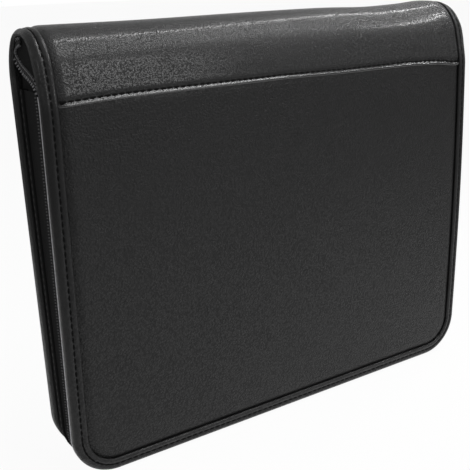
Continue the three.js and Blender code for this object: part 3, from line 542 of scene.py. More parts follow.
def rim_width(route, travel):
    """The side of the strip widens on the arch and narrows again to the crown."""
    share = np.clip((np.interp(travel, route["travel"], route["P"][:, 2]) - HINGE) / ARCH_RISE, 0, 1)
    return 1 + 0.3 * np.sin(math.pi * share) - 0.5 * share ** 4


def pleat_depth(route, travel, n):
    """Pleats across the inner half of the strip at both lower corners."""
    start_left = travel_at(route, CORNER, False)
    arc = CORNER * math.pi / 2
    foot = LENGTH - 2 * CORNER
    total = np.zeros_like(travel)
    for share, size in PLEATS:
        for centre in (start_left + arc * share, start_left + arc + foot + arc * (1 - share)):
            bump = np.exp(-((travel - centre) / 1.3) ** 2) - 0.6 * np.exp(-((travel - centre - 2.4) / 1.5) ** 2)
            total += size * bump * np.clip((n - 4.5) / 4.5, 0, 1)
    return total


def lay_binding(route, section, other=None):
    """The strip along its route, with the other section over the spine, where both strips meet."""
    first = route["travel"][0]
    span = route["travel"][-1] - first
    near, far = between(route, HINGE)

    def lay(a, b):
        travel = first + a * span
        b = b ** 1.25
        n, depth, length = section(b)
        if other:
            n2, depth2, _ = other(b)
            over = np.clip((near + 4 - travel) / 14, 0, 1) + np.clip((travel - far + 4) / 14, 0, 1)
            n, depth = n + (n2 - n) * over, depth + (depth2 - depth) * over
        depth = np.where(depth > 2.6, 2.6 + (depth - 2.6) * rim_width(route, travel), depth)
        depth = depth - pleat_depth(route, travel, n)
        depth = depth + 0.10 * np.sin(travel / 7.3) * np.clip((n - 5) / 4, 0, 1)
        x, y, z = along(route, travel, n, depth)
        return x, y, z, travel, length
    return lay


for side, sign, route, sections in (("front", -1, front_route, (front_section,)),
                                    ("rear", 1, rear_route, (rear_section, front_section))):
    strip = lay_sheet(side + "_edge_binding", STRIP_COLS, STRIP_ROWS, lay_binding(route, *sections), (0, sign, 0))
    finish_piece(strip, strip_hide)
    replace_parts(strip, side + "_binding", "spine_binding_left", "spine_binding_right")
    side + "_cover"
    sign * 0.026
    sign * 0.026
    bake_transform(strip)
print("binding strips:", len(strip.data.polygons), "faces each")

# %% [markdown]
# ## Rim edge
# The rear edge of the front rim is a ridge that catches the light beside the zip; its pale grey is a
# painted highlight. It is a thin round bead along the same route.

# %% Rim edge


def lay_strip(route, section, first, last, ripple=0.0):
    """A strip along a route from one travel to another, with a ripple from side to side."""
    def lay(a, b):
        travel = first + a * (last - first)
        n, depth, length = section(b)
        n = n + ripple * np.sin(travel / 9.0) * np.sin(travel / 23.0 + b * 3.0)
        x, y, z = along(route, travel, n, depth)
        return x, y, z, travel, length
    return lay


def round_section(n, depth, radius):
    """Section of a bead whose middle is at n and depth."""
    def section(b):
        angle = b * 2 * math.pi
        return n + radius * np.cos(angle), depth + radius * np.sin(angle), angle * radius
    return section


def closed_bead(name, lay, cols, rows, posture=settle):
    """A round bead: the grid's long edges are merged and its ends capped."""
    bead = lay_sheet(name, cols, rows, lay, (0, 0, 1), thick=0, posture=posture)
    select_only(bead)
    bpy.ops.object.mode_set(mode="EDIT")
    bpy.ops.mesh.select_all(action="SELECT")
    bpy.ops.mesh.remove_doubles(threshold=0.00002)
    bpy.ops.mesh.select_non_manifold()
    bpy.ops.mesh.edge_face_add()
    bpy.ops.mesh.select_all(action="SELECT")
    bpy.ops.mesh.normals_make_consistent(inside=False)
    bpy.ops.object.mode_set(mode="OBJECT")
    return bead


RIM_TOP = 247.0  # the bead runs round from this height on the left to the same on the right
lay_rim = lay_strip(front_route, round_section(0.7, 8.3, 0.6), *between(front_route, RIM_TOP))
rim_edge = closed_bead("front_rim_edge", lay_rim, 360, 8)
# the bead's pale grey is a painted highlight
finish_piece(rim_edge, rim_edge_highlight, "front_cover")
print("rim edge:", len(rim_edge.data.polygons), "faces")

# %% [markdown]
# ## Cover panels
# The big panel is a thin hide over wadding. It tucks under the binding in a groove and swells
# softly towards the middle. The grid's corners that would stick out of the rounded cover are
# pulled in to its outline, under the strip.

# %% Cover panels


def swell(distance, rise, width):
    """Rise of a padded sheet at a distance from its stitched edge."""
    share = np.clip(distance / width, 0, 1)
    return rise * (1 - (1 - share) ** 2.4)


def rounded_spot(a, b, x0, x1, z0, z1, radius, open_top=False):
    """X, Z and the distance to the edge, for a grid over a plate with rounded corners. With an open
    top, only the lower corners are round and the top edge doesn't count."""
    x, z = x0 + a * (x1 - x0), z0 + b * (z1 - z0)
    middle_x, middle_z = (x0 + x1) / 2, (z0 + z1) / 2
    over_x = np.abs(x - middle_x) - ((x1 - x0) / 2 - radius)
    over_z = z0 + radius - z if open_top else np.abs(z - middle_z) - ((z1 - z0) / 2 - radius)
    corner = (over_x > 0) & (over_z > 0)
    reach = np.hypot(over_x, over_z)
    pull = np.where(corner & (reach > radius), radius / np.maximum(reach, 1e-6), 1.0)
    x = np.where(corner, x - np.sign(x - middle_x) * over_x * (1 - pull), x)
    z = np.where(corner, z - np.sign(z - middle_z) * over_z * (1 - pull), z)
    return x, z, np.where(corner, radius - reach * pull, radius - np.maximum(over_x, over_z))


PANEL_INSET = 7.6  # from the outer side of the binding to the panel's hidden edge


def lay_panel(front, top):
    def lay(a, b):
        x, z, edge = rounded_spot(a, b, PANEL_INSET - SIDE, SIDE - PANEL_INSET, PANEL_INSET, top,
                                  CORNER - PANEL_INSET, open_top=True)
        edge = edge - 1.6
        depth = 3.0 - swell(edge, 2.25, 6.0) - 0.45 * swell(edge, 1.0, 70.0)
        depth = depth + 0.14 * np.sin(x / 43.0 + z / 61.0) * np.sin(z / 37.0 + 1.0) * np.clip(edge / 20, 0, 1)
        depth = depth + 0.5 * np.exp(-((z - top) / 4.0) ** 2)
        return x, cover_y(front, z, depth), z, x, z
    return lay


for side, sign, lap, node in (("front", -1, LAP_FRONT, "front_lower_panel"), ("rear", 1, LAP_REAR, "rear_panel")):
    panel = lay_sheet(side + "_panel_hide", 150, 110, lay_panel(sign < 0, lap + 4), (0, sign, 0))
    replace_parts(finish_piece(panel, hide, side + "_cover"), node)
print("cover panels:", len(panel.data.polygons), "faces each")

# %% [markdown]
# ## Spine hide
# The upper hide starts at the turned edge of the front seam, runs over the crown and ends at the
# rear seam. It crosses both hinges, and is made as two halves that meet on the flat of the crown.

# %% Spine hide


def spine_line(front):
    """Section of the spine hide from the seam to the crown: y, z and the outward normal's y, z."""
    seam = LAP_FRONT if front else LAP_REAR
    sign = -1 if front else 1
    reach = ARCH_FRONT if front else ARCH_REAR
    middle = FRONT_Y + ARCH_FRONT if front else REAR_Y - ARCH_REAR
    edge = [(1.6, seam + 0.7), (1.5, seam - 0.1), (0.9, seam - 0.5), (0.1, seam - 0.45), (-0.4, seam - 0.05),
            (-0.65, seam + 0.5), (-0.6, seam + 1.0), (-0.25, seam + 1.45), (0.35, seam + 1.7), (0.75, seam + 2.1),
            (0.75, seam + 2.8), (0.5, seam + 3.5), (0.15, seam + 4.4), (0.0, seam + 6.0)]
    rows = [(cover_y(front, z, depth), z, sign, 0.0) for depth, z in edge]
    for angle in np.arange(0, 90.1, 4.5):
        c, s = math.cos(math.radians(angle)), math.sin(math.radians(angle))
        rows.append((middle + sign * reach * c, HINGE + ARCH_RISE * s, sign * c, s))
    rows.append((CROWN_Y, TOP, 0.0, 1.0))
    return ruled(soften(rows, 1))


def seam_dip(x):
    """The front seam hangs lower towards both ends."""
    return np.interp(x, *SEAM_DIP)


def lay_spine(front):
    section = spine_line(front)

    def lay(a, b):
        x = (a * 2 - 1) * (SIDE - PANEL_INSET)
        y, z, ny, nz, length = section(b ** 1.5)
        if front:
            z = z - seam_dip(x) * (1 - smooth(z, LAP_FRONT + 3, LAP_FRONT + 24))
        edge = SIDE - 9.4 - np.abs(x)
        dip = 2.8 - swell(edge + 1.6, 2.8, 7.0)
        wave = 0.25 * np.sin(x / 33.0 + z / 23.0) * np.sin(x / 71.0 + 2.0) * smooth(z, 246, 258)
        return x, y - ny * (dip + wave), z - nz * (dip + wave), x, length
    return lay


for side, sign in (("front", -1), ("rear", 1)):
    crown_hide = lay_sheet(side + "_spine_hide", 200, 66, lay_spine(sign < 0), (0, sign, 0))
    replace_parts(finish_piece(crown_hide, spine_hide), side + "_upper_panel", "spine_leather")
    side + "_cover"
    sign * 0.026
    sign * 0.026
    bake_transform(crown_hide)
print("spine hides:", len(crown_hide.data.polygons), "faces each")

# %% [markdown]
# ## Stitches
# One stitch is modelled once: a short round thread that dips into a hole at each end. It is then
# copied along every seam, turned to the direction of the seam.

# %% One stitch, many copies


def model_stitch(length, width, height):
    clear_selection()
    bpy.ops.mesh.primitive_cylinder_add(vertices=6, radius=width / 2 * MM, depth=length * MM,
                                        rotation=(0, math.pi / 2, 0))
    one = bpy.context.object
    bpy.ops.object.transform_apply(location=False, rotation=True, scale=False)
    bpy.ops.object.mode_set(mode="EDIT")
    bpy.ops.mesh.select_all(action="SELECT")
    bpy.ops.mesh.bisect(plane_co=(0, 0, 0), plane_no=(1, 0, 0))
    bpy.ops.object.mode_set(mode="OBJECT")
    points = np.array([v.co[:] for v in one.data.vertices]) / MM
    points[:, 2] = points[:, 2] * (height / width) - height * 0.5 * (np.abs(points[:, 0]) / (length / 2)) ** 4
    faces = [tuple(p.vertices) for p in one.data.polygons]
    bpy.data.objects.remove(one)
    return points, faces


def copy_along(name, one, spots):
    """Copies a small model to each spot: place, direction along, direction up, in mm."""
    points, faces, heads = one if len(one) == 3 else (*one, None)
    every, polygons = [], []
    for index, (place, forward, up) in enumerate(spots):
        forward, up = np.array(forward, float), np.array(up, float)
        forward /= np.linalg.norm(forward)
        side = np.cross(up, forward)
        side /= np.linalg.norm(side)
        up = np.cross(forward, side)
        every.append(np.array(place) + points[:, :1] * forward + points[:, 1:2] * side + points[:, 2:] * up)
        polygons += [tuple(index * len(points) + k for k in face) for face in faces]
    every = np.concatenate(every)
    mesh = bpy.data.meshes.new(name)
    mesh.from_pydata((every * MM).tolist(), [], polygons)
    mesh.update()
    if heads:
        mesh.polygons.foreach_set("material_index", heads * len(spots))
    piece = bpy.data.objects.new(name, mesh)
    bpy.context.scene.collection.objects.link(piece)
    select_only(piece)
    bpy.ops.object.shade_smooth_by_angle(angle=SMOOTH_BELOW)
    return piece


stitch = model_stitch(3.8, 1.45, 0.8)
print("one stitch:", len(stitch[1]), "faces")

# %% [markdown]
# ## Rows of stitches
# A row knows its seam as a function of the travel along it. Each stitch takes its direction from
# the places just ahead and behind, and its upper side from a place raised off the seam.

# %% Rows of stitches


def seam_spots(spot, travel, posture=settle):
    """Spots along a seam: spot(travel, lift) gives a place at a travel, raised off the seam by lift."""
    here, ahead, behind, raised = [np.stack(posture(*spot(t, lift)), 1) for t, lift in (
        (travel, 0), (travel + 0.4, 0), (travel - 0.4, 0), (travel, 1.0))]
    return [(p, f - b, q - p) for p, f, b, q in zip(here, ahead, behind, raised)]


def face_spots(route, first, last, n, depth):
    return seam_spots(lambda t, lift: along(route, t, n, depth - lift), np.arange(first, last, STITCH_PITCH))


def side_spots(route, first, last, n, depth, pitch=STITCH_PITCH, posture=settle):
    return seam_spots(lambda t, lift: along(route, t, n - lift, depth(t)), np.arange(first, last, pitch), posture)


for side, sign, route in (("front", -1, front_route), ("rear", 1, rear_route)):
    row = copy_along(side + "_rim_stitches", stitch, face_spots(route, 3, route["travel"][-1] - 2, 5.2, 1.25))
    finish_piece(row, thread)
    side + "_cover"
    sign * 0.026
    sign * 0.026
    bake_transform(row)
print("rim stitches:", len(row.data.polygons) // len(stitch[1]), "at the back")


def lap_spots(front):
    seam = (LAP_FRONT if front else LAP_REAR) + 2.65

    def spot(t, lift):
        return t, cover_y(front, seam, 0.55 - lift) + t * 0, seam - (seam_dip(t) if front else t * 0)
    return seam_spots(spot, np.arange(-SIDE + 12, SIDE - 11, STITCH_PITCH))


for side in ("front", "rear"):
    row = copy_along(side + "_lap_stitches", stitch, lap_spots(side == "front"))
    finish_piece(row, thread, side + "_cover")
print("seam stitches:", len(row.data.polygons) // len(stitch[1]), "in each seam")

# %% [markdown]
# ## Gusset
# Behind the zip the side of the folder is a soft wall, set in from the rim, and a stitched fold
# that carries the zip tape. Both follow the rear cover, so they lean with it.

# %% Gusset
GUSSET_TOP = 248.0
gusset_ends = between(rear_route, GUSSET_TOP)
wall_section = ruled(np.array([(7.5, 9.2), (7.9, 12.0), (7.5, 15.6), (7.4, 19.4)]))
fold_section = ruled(soften([(7.3, 15.1), (2.4, 15.1), (1.15, 15.6), (1.0, 16.6), (1.35, 17.2), (1.35, 17.7),
                             (1.0, 18.3), (1.15, 19.4), (2.4, 19.85), (7.3, 19.85)]))
wall = lay_sheet("gusset_wall_hide", 260, 8, lay_strip(rear_route, wall_section, *gusset_ends, ripple=0.35),
                 outwards, thick=1.0)
fold = lay_sheet("gusset_fold_hide", 300, 30, lay_strip(rear_route, fold_section, *gusset_ends, ripple=0.1),
                 (0, 1, 0), thick=0.8)
bead_stitch = model_stitch(2.6, 0.9, 0.8)
fold_stitches = copy_along("gusset_stitches", bead_stitch, side_spots(
    rear_route, *between(rear_route, 246), 1.2, lambda t: 17.45))
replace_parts(finish_piece(wall, gusset_hide, "rear_cover"), "gusset_wall")
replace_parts(finish_piece(fold, gusset_hide, "rear_cover"), "gusset_welt")
finish_piece(fold_stitches, tooth_plastic, "rear_cover")
print("gusset:", len(wall.data.polygons), len(fold.data.polygons), "faces")

# %% [markdown]
# ## Zip tapes
# The rear tape is a wedge of twill between the chain and the fold, narrow at the foot and wide at
# the spine. The front tape only shows as a thin dark line beside the rim.

# %% Zip tapes


def chain_depth(travel):
    """The chain lies a little deeper on the left than on the right."""
    across = np.interp(travel, front_route["travel"], front_route["P"][:, 0]) / LENGTH + 0.5
    return CHAIN_MIDDLE - CHAIN_SHIFT * across


def lay_rear_tape(a, b):
    first, last = gusset_ends
    travel = first + a * (last - first)
    share = (travel - first) / (last - first)
    front_first, front_last = between(front_route, GUSSET_TOP)
    near_travel = front_first + share * (front_last - front_first)
    near = settle_zip(*along(front_route, near_travel, 2.5, chain_depth(near_travel) + 2.3))
    far = settle(*along(rear_route, travel, 2.3, 19.6))
    x, y, z = [p + (q - p) * b for p, q in zip(near, far)]
    sag = 0.5 * np.sin(b * math.pi)
    x = x - np.sign(x) * sag * (z > CORNER)
    return x, y, z, travel, b * np.abs(far[1] - near[1])


rear_tape = lay_sheet("rear_tape_cloth", 300, 10, lay_rear_tape, outwards, thick=0.5, posture=None)
front_tape_section = ruled(np.array([(2.5, 8.1), (2.5, 9.5), (2.5, 10.9)]))
lay_front_tape = lay_strip(front_route, front_tape_section, *between(front_route, STUB_TOP))
front_tape = lay_sheet("front_tape_cloth", 260, 4, lay_front_tape, outwards, thick=0.5, posture=settle_zip)
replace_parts(finish_piece(rear_tape, tape_cloth, "rear_cover"), "rear_zip_tape")
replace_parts(finish_piece(front_tape, tape_cloth, "front_cover"), "front_zip_tape")
print("tapes:", len(rear_tape.data.polygons), len(front_tape.data.polygons), "faces")

# %% [markdown]
# ## Zip chain
# A tooth is a small bar with a rounded head. One is modelled, and the two rows are copies of it,
# half a pitch apart, each with its foot in its own tape. At the top of both sides a short piece of
# chain stays closed, on its own backing of tape.

# %% Zip chain
TOOTH_PITCH, CHAIN_INSET = 2.0, 2.4  # between the teeth of a row, and from the rim inwards


def round_edges(piece):
    """Takes the sharpness off a small part."""
    edge = piece.modifiers.new("edge", "BEVEL")
    edge.width, edge.segments = 0.3 * MM, 2
    bpy.ops.object.modifier_apply(modifier=edge.name)


def model_tooth():
    """One tooth: its points, its faces, and which of them are the end of the head, which takes a painted highlight.
    """
    clear_selection()
    bpy.ops.mesh.primitive_cube_add(size=MM)
    one = bpy.context.object
    one.scale = (0.95, 3.2, 1.6)
    bpy.ops.object.transform_apply(location=False, rotation=False, scale=True)
    bpy.ops.object.mode_set(mode="EDIT")
    for cut in (-0.75, -0.1):
        bpy.ops.mesh.select_all(action="SELECT")
        bpy.ops.mesh.bisect(plane_co=(0, cut * MM, 0), plane_no=(0, 1, 0))
    bpy.ops.object.mode_set(mode="OBJECT")
    round_edges(one)
    points = np.array([v.co[:] for v in one.data.vertices]) / MM
    outer = np.clip((-0.6 - points[:, 1]) / 0.5, 0, 1)
    points[:, 2] += np.where(points[:, 2] > 0, 0.55 * outer - 0.25 * (1 - outer), 0)
    points[:, 0] *= 1 - 0.1 * outer
    points[:, 1] -= 1.05
    faces = [tuple(p.vertices) for p in one.data.polygons]
    # faces at the end of the head, marked for the painted highlight
    heads = [bool(np.all(points[list(face), 1] < -1.7) and np.mean(points[list(face), 2]) > 0.3) for face in faces]
    bpy.data.objects.remove(one)
    return points, faces, heads


tooth = model_tooth()


def chain_spots(route, first, last, side, phase):
    spots = side_spots(route, first + phase, last, CHAIN_INSET, chain_depth, TOOTH_PITCH, settle_zip)
    return [(p, f * side, u) for p, f, u in spots]


for side, way, phase in (("front", -1, 0.0), ("rear", 1, TOOTH_PITCH / 2)):
    spots = chain_spots(front_route, *between(front_route, SEAM_TOP), way, phase)
    row = copy_along(side + "_zip_chain", tooth, spots)
    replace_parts(finish_piece(row, tooth_plastic, side + "_cover"), side + "_zip_teeth")
print("chain:", len(row.data.polygons), "faces a row")

stub_backing = ruled(np.array([(3.1, 10.4), (3.1, 13.0), (3.1, 15.4)]))
for side, right, top in (("left", False, 246.0), ("right", True, 236.0)):
    ends = sorted((travel_at(front_route, SEAM_TOP + 0.6, right), travel_at(front_route, top, right)))
    spots = chain_spots(front_route, *ends, 1, 0.0) + chain_spots(front_route, *ends, -1, TOOTH_PITCH / 2)
    stub = copy_along(side + "_chain_stub", tooth, spots)
    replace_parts(finish_piece(stub, tooth_plastic, "front_cover"), "zip_stub_" + side)
    tape = lay_sheet(side + "_chain_stub_tape", 14, 4, lay_strip(front_route, stub_backing, *ends), outwards,
                     thick=0.4, posture=settle_zip)
    finish_piece(tape, tape_cloth, "front_cover")
print("stubs:", len(spots), "teeth in the right one")

# %% [markdown]
# ## Zip end
# At the left end of the spine the closed chain leaves the rim, crosses the hollow under the arch
# and hooks back at the top. Its teeth are a little bigger, and their heads carry a brighter painted
# highlight, for the light that falls on them there.

# %% Zip end
# y and z along the middle of the chain
HOOK = np.array([(-14.7, 248.6), (-12.7, 250.8), (-9.5, 253.9), (-1.7, 257.1), (5.6, 259.6), (11.8, 262.8),
                 (16.6, 266.2), (17.6, 270.0), (14.0, 273.5), (6.8, 275.6)])


def hook_line():
    """A smooth line through all the points of the hook."""
    knots = np.vstack([2 * HOOK[0] - HOOK[1], HOOK, 2 * HOOK[-1] - HOOK[-2]])
    line = []
    for k in range(1, len(knots) - 2):
        for t in np.linspace(0, 1, 24, endpoint=False):
            a, b, c, d = knots[k - 1:k + 3]
            line.append(0.5 * (2 * b + (c - a) * t + (2 * a - 5 * b + 4 * c - d) * t ** 2
                               + (3 * b - a - 3 * c + d) * t ** 3))
    line.append(HOOK[-1])
    return ruled(np.array(line))


hook = hook_line()
hook_length = float(hook(np.array([1.0]))[2][0])
HOOK_PITCH = 2.7  # measured at the zip end, where the teeth stand further apart than on the rim
HOOK_STRETCH = 1.35  # length of a tooth there, against one on the rim


def hook_spots(side, phase):
    def spot(t, lift):
        y, z, _ = hook(np.clip(t / hook_length, 0, 1))
        return np.full_like(y, CHAIN_INSET - SIDE - lift), y, z
    spots = seam_spots(spot, np.arange(phase, hook_length - 0.5, HOOK_PITCH), posture=lambda *place: place)
    return [(p, f * side, u) for p, f, u in spots]


middles = [tooth[0][list(face)].mean(axis=0) for face in tooth[1]]
end_tooth = (tooth[0] * (HOOK_STRETCH, 1, 1), tooth[1], [bool(m[1] < -1.1 and m[2] > 0.1) for m in middles])
left_end = copy_along("left_zip_end_chain", end_tooth, hook_spots(1, 0.0) + hook_spots(-1, HOOK_PITCH / 2))
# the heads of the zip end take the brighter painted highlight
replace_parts(finish_piece(left_end, tooth_plastic, "spine", end_highlight), "zip_end_left")
print("zip end:", round(hook_length, 1), "mm of chain")

# %% [markdown]
# ## End cloths
# At each end of the spine one woven cloth fills the space between the line of the hook and the
# arch, and another hangs from that line down to the gusset.

# %% End cloths


def lay_end_tape(side, clear):
    """Cloth from the hook, clear of its teeth, to the inside of the arch."""
    def lay(a, b):
        b = 1 - b
        y, z, _ = hook(a * 0.97)
        y2, z2, _ = hook(np.clip(a * 0.97 + 0.01, 0, 1))
        length = np.hypot(y2 - y, z2 - z)
        near_y, near_z = y - (z2 - z) / length * clear, z + (y2 - y) / length * clear
        angle = np.radians(2 + 96 * a)
        far_y = FRONT_Y + ARCH_FRONT - (ARCH_FRONT - 9.0) * np.cos(angle) + 4.0 * a ** 3
        far_z = HINGE + (ARCH_RISE - 6.0) * np.sin(angle)
        x = side * (SIDE - 2.5 - 0.8 * np.sin(b * math.pi))
        return x, near_y + (far_y - near_y) * b, near_z + (far_z - near_z) * b, a * 45.0, b * 14.0
    return lay


def lay_lower_cloth(side):
    """Cloth from under the hook down to the top of the gusset, and back to the rear binding."""
    def lay(a, b):
        y, z, _ = hook(a * 0.62)
        top = np.minimum(z - 0.5, HINGE + 16.0)
        y = y + 3.4 * smooth(a, 0.7, 1.0)
        foot = GUSSET_TOP - 4.0
        return side * (SIDE - 4.5 - 0.6 * np.sin(b * math.pi)), y, foot + (top - foot) * b, a * 33.0, b * 14.0
    return lay


for name, side, clear, posture in (("left", -1, 2.4, None), ("right", 1, 0.0, settle)):
    cloth = lay_sheet(name + "_end_cloth", 60, 18, lay_end_tape(side, clear), (side, 0, 0), 0.5, posture)
    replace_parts(finish_piece(cloth, tape_cloth, "spine"), "zip_end_tape_" + name)
    lower = lay_sheet(name + "_end_cloth_lower", 40, 14, lay_lower_cloth(side), (side, 0, 0), 0.5, posture)
    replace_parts(finish_piece(lower, tape_cloth), "zip_end_tape_" + name)
    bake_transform(lower)
print("end cloths:", len(cloth.data.polygons), "and", len(lower.data.polygons), "faces at each end")

# %% [markdown]
# ## Linings
# The inside of each cover is a woven cloth, tucked under the inner flap of the binding. The cloth
# of the spine runs under its board and down to both covers. It is made as two halves.

# %% Linings
FRONT_LINING, REAR_LINING = 6.95, 9.15  # below the outer face
# y and z of half the section, from the front cover to the middle under the board
SPINE_CLOTH = [(-20.1, 244.0), (-20.3, 250.0), (-21.3, 254.0), (-22.0, 257.5), (-21.0, 261.5), (-19.0, 265.0),
               (-17.0, 266.2), (-9.0, 266.3), (0.2, 266.3)]


def lay_plate(front, limits, radius, depth, rise=0.3, lip=0.0):
    """A flat piece inside a cover; the lip is how far its top edge stands off."""
    def lay(a, b):
        x, z, edge = rounded_spot(a, b, *limits, radius)
        stand = swell(edge, rise, 9.0) + lip * np.sin(math.pi * a) * b ** 6
        stand = stand + 0.12 * np.sin(x / 21.0 + z / 37.0) * np.sin(z / 17.0) * np.clip(edge / 10, 0, 1)
        return x, cover_y(front, z, depth + stand), z, x, z
    return lay


def add_plate(name, node, front, limits, radius, depth, material=None, thick=0.9, lip=0.0):
    rise = 0.0 if material is lining_cloth else 0.3
    plate = lay_sheet(name, 100, 80, lay_plate(front, limits, radius, depth - rise, rise, lip),
                      (0, 1 if front else -1, 0), thick=thick, posture=lean_in)
    finish_piece(plate, material or inner_hide, "front_cover" if front else "rear_cover")
    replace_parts(plate, node)
    return plate


LINING = (-162.4, 162.4, 9.0, 253.0)
add_plate("front_lining_cloth", "front_lining", True, LINING, 20.0, FRONT_LINING, lining_cloth, 0.5)
add_plate("rear_lining_cloth", "rear_lining", False, LINING, 20.0, REAR_LINING, lining_cloth, 0.5)
for side, sign in (("front", 1), ("rear", -1)):
    path = ruled(soften([(sign * y - (1 - sign) * 1.0, z) for y, z in SPINE_CLOTH], 1))

    def lay_cloth(a, b, path=path):
        y, z, length = path(b)
        x = (a * 2 - 1) * 161.8
        return x, y, z, x, length
    cloth = lay_sheet(side + "_spine_cloth", 60, 40, lay_cloth, (0, sign, 0), thick=0.5, posture=lean_in)
    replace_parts(finish_piece(cloth, lining_cloth), "spine_lining")
    side + "_cover"
    -sign * 0.026
    -sign * 0.026
    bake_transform(cloth)
print("linings:", len(cloth.data.polygons), "faces in half the spine's cloth")

# %% [markdown]
# ## Pockets
# Inside the front cover: a document pocket, three stepped card pockets and a pen loop. Inside the
# rear cover: a sleeve for the pad. Each is sewn down on three sides and open on the fourth.

# %% Pockets


def edge_path(limits, radius, inset, open_side):
    """Outline of a plate, inset, as points from one end of its open side round to the other."""
    x0, x1, z0, z1 = limits[0] + inset, limits[1] - inset, limits[2] + inset, limits[3] - inset
    r = max(radius - inset, 0.5)
    points = []
    for turn, (cx, cz) in enumerate(((x0 + r, z1 - r), (x0 + r, z0 + r), (x1 - r, z0 + r), (x1 - r, z1 - r))):
        for angle in np.linspace(90 + 90 * turn, 180 + 90 * turn, 7):
            points.append((cx + r * math.cos(math.radians(angle)), cz + r * math.sin(math.radians(angle))))
    if open_side == "right":
        points = [(x1, z1)] + points[:14] + [(x1, z0)]
    return np.array(points)


def sew_plate(name, front, limits, radius, depth, open_side="top"):
    """A row of stitches round the closed sides of a pocket."""
    path = ruled(edge_path(limits, radius, 2.2, open_side))
    length = float(path(np.array([1.0]))[2][0])

    def spot(t, lift):
        x, z, _ = path(np.clip(t / length, 0, 1))
        return x, cover_y(front, z, depth + lift), z
    spots = seam_spots(spot, np.arange(2.5, length - 2, STITCH_PITCH), posture=lean_in)
    seam = copy_along(name, model_stitch(3.4, 0.8, 0.5), spots)
    return finish_piece(seam, thread, "front_cover" if front else "rear_cover")


POCKET, SLEEVE = (-157.5, 62.0, 14.0, 212.0), (-157.5, 157.5, 14.0, 150.0)
CARD, CARD_STEP, CARD_RADIUS = (-149.5, -105.5, 108.0, 200.0), 16.0, 4.0
add_plate("document_pocket_leather", "document_pocket", True, POCKET, 16.0, 8.15)
sew_plate("document_pocket_seam", True, POCKET, 16.0, 8.1, "right")
for index, depth in enumerate((11.85, 10.65, 9.35)):
    card = (CARD[0], CARD[1] + CARD_STEP * index, CARD[2], CARD[3])
    add_plate("card_pocket_leather_%d" % (index + 1), "card_pocket_%d" % (index + 1), True, card, CARD_RADIUS, depth)
    sew_plate("card_pocket_seam_%d" % (index + 1), True, card, CARD_RADIUS, depth, "right")
add_plate("pad_sleeve_leather", "pad_sleeve", False, SLEEVE, 16.0, 10.35, lip=1.2)
sew_plate("pad_sleeve_seam", False, SLEEVE, 16.0, 10.4)

PEN_X, PEN_WIDTH, PEN_Y, PEN_Z, PEN_RADIUS = 86.0, 34.0, -13.2, 106.0, 6.9


def lay_pen_loop(a, b):
    """A band round a pen, open by a slit towards the cover."""
    angle = 2 * math.pi * (0.01 + 0.98 * b) - math.pi / 2
    x = PEN_X + PEN_WIDTH * a
    return x, PEN_Y + PEN_RADIUS * np.sin(angle), PEN_Z + PEN_RADIUS * np.cos(angle), x, angle * PEN_RADIUS


pen = lay_sheet("pen_loop_elastic", 24, 48, lay_pen_loop, (0, 0, 1), thick=1.3, posture=lean_in)
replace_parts(finish_piece(pen, lining_cloth, "front_cover"), "pen_loop")
print("pen loop:", PEN_WIDTH, "mm wide, for a pen of", 2 * PEN_RADIUS, "mm")

# %% [markdown]
# ## Ring mechanism
# The half rings are smooth nickel wire on flat blades. Their places and sizes are those of the CAD,
# so the rings open at the same pivots. The cover plate and the levers keep their CAD shape.

# %% Ring mechanism
RING_X = (-110.45, -2.5, 105.45)
RING_RADIUS, WIRE, RING_Z = 11.3, 1.3, 254.1
BLADE, BLADE_Y, BLADE_Z = (278.0, 9.4, 1.0), 5.0, 264.15


def lay_wire(x, side):
    """Half a ring, from its root in the blade to its tip at the middle."""
    root, tip = math.radians(58.0), math.radians(-89.2)

    def lay(a, b):
        angle = root + (tip - root) * a
        turn = 2 * math.pi * b
        reach = RING_RADIUS + WIRE * np.cos(turn)
        return (x + WIRE * np.sin(turn), side * reach * np.cos(angle), RING_Z + reach * np.sin(angle),
                angle * RING_RADIUS, turn * WIRE)
    return lay


for side, sign in (("front", -1), ("rear", 1)):
    clear_selection()
    bpy.ops.mesh.primitive_cube_add(size=MM, location=(RING_X[1] * MM, sign * BLADE_Y * MM, BLADE_Z * MM))
    rings = bpy.context.object
    rings.scale = BLADE
    bpy.ops.object.transform_apply(location=True, rotation=False, scale=True)
    round_edges(rings)
    wires = [closed_bead(side + "_half_rings_wire", lay_wire(x, sign), 48, 16, posture=None) for x in RING_X]
    select_only(*wires, rings)
    bpy.ops.object.join()
    rings.name = side + "_half_rings"
    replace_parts(finish_piece(rings, nickel, "rail_" + side), "ring_rail_" + side)
print("half rings:", len(rings.data.polygons), "faces on a blade")

# %% [markdown]
# ## Camera
# The camera stands where the photograph was taken from, as far as a fit to the picture can tell.
# Its focal length is in pixels of a picture 470 pixels wide, and becomes one for a 36 mm sensor.

# %% Camera
CAMERA_MM, YAW, PITCH, ROLL = (-333.7, -462.6, 318.2), 33.235, 18.482, -1.263
FOCAL_PX, PICTURE_PX, SENSOR_MM = 829.7, 470.0, 36.0
yaw, pitch, roll = (math.radians(a) for a in (YAW, PITCH, ROLL))
ahead = Vector((math.sin(yaw) * math.cos(pitch), math.cos(yaw) * math.cos(pitch), -math.sin(pitch)))
right = Vector((math.cos(yaw), -math.sin(yaw), 0))
up = right.cross(ahead)
right_turned = right * math.cos(roll) + up * math.sin(roll)
up_turned = up * math.cos(roll) - right * math.sin(roll)
lens = bpy.data.cameras.new("camera")
lens.lens, lens.sensor_width, lens.clip_start = SENSOR_MM * FOCAL_PX / PICTURE_PX, SENSOR_MM, 0.01
camera = bpy.data.objects.new("camera", lens)
camera.matrix_world = Matrix.Translation(Vector(CAMERA_MM) * MM) @ Matrix(
    (right_turned, up_turned, -ahead)).transposed().to_4x4()
bpy.context.scene.collection.objects.link(camera)
bpy.context.scene.camera = camera
print("camera", [round(c, 3) for c in camera.matrix_world.translation])
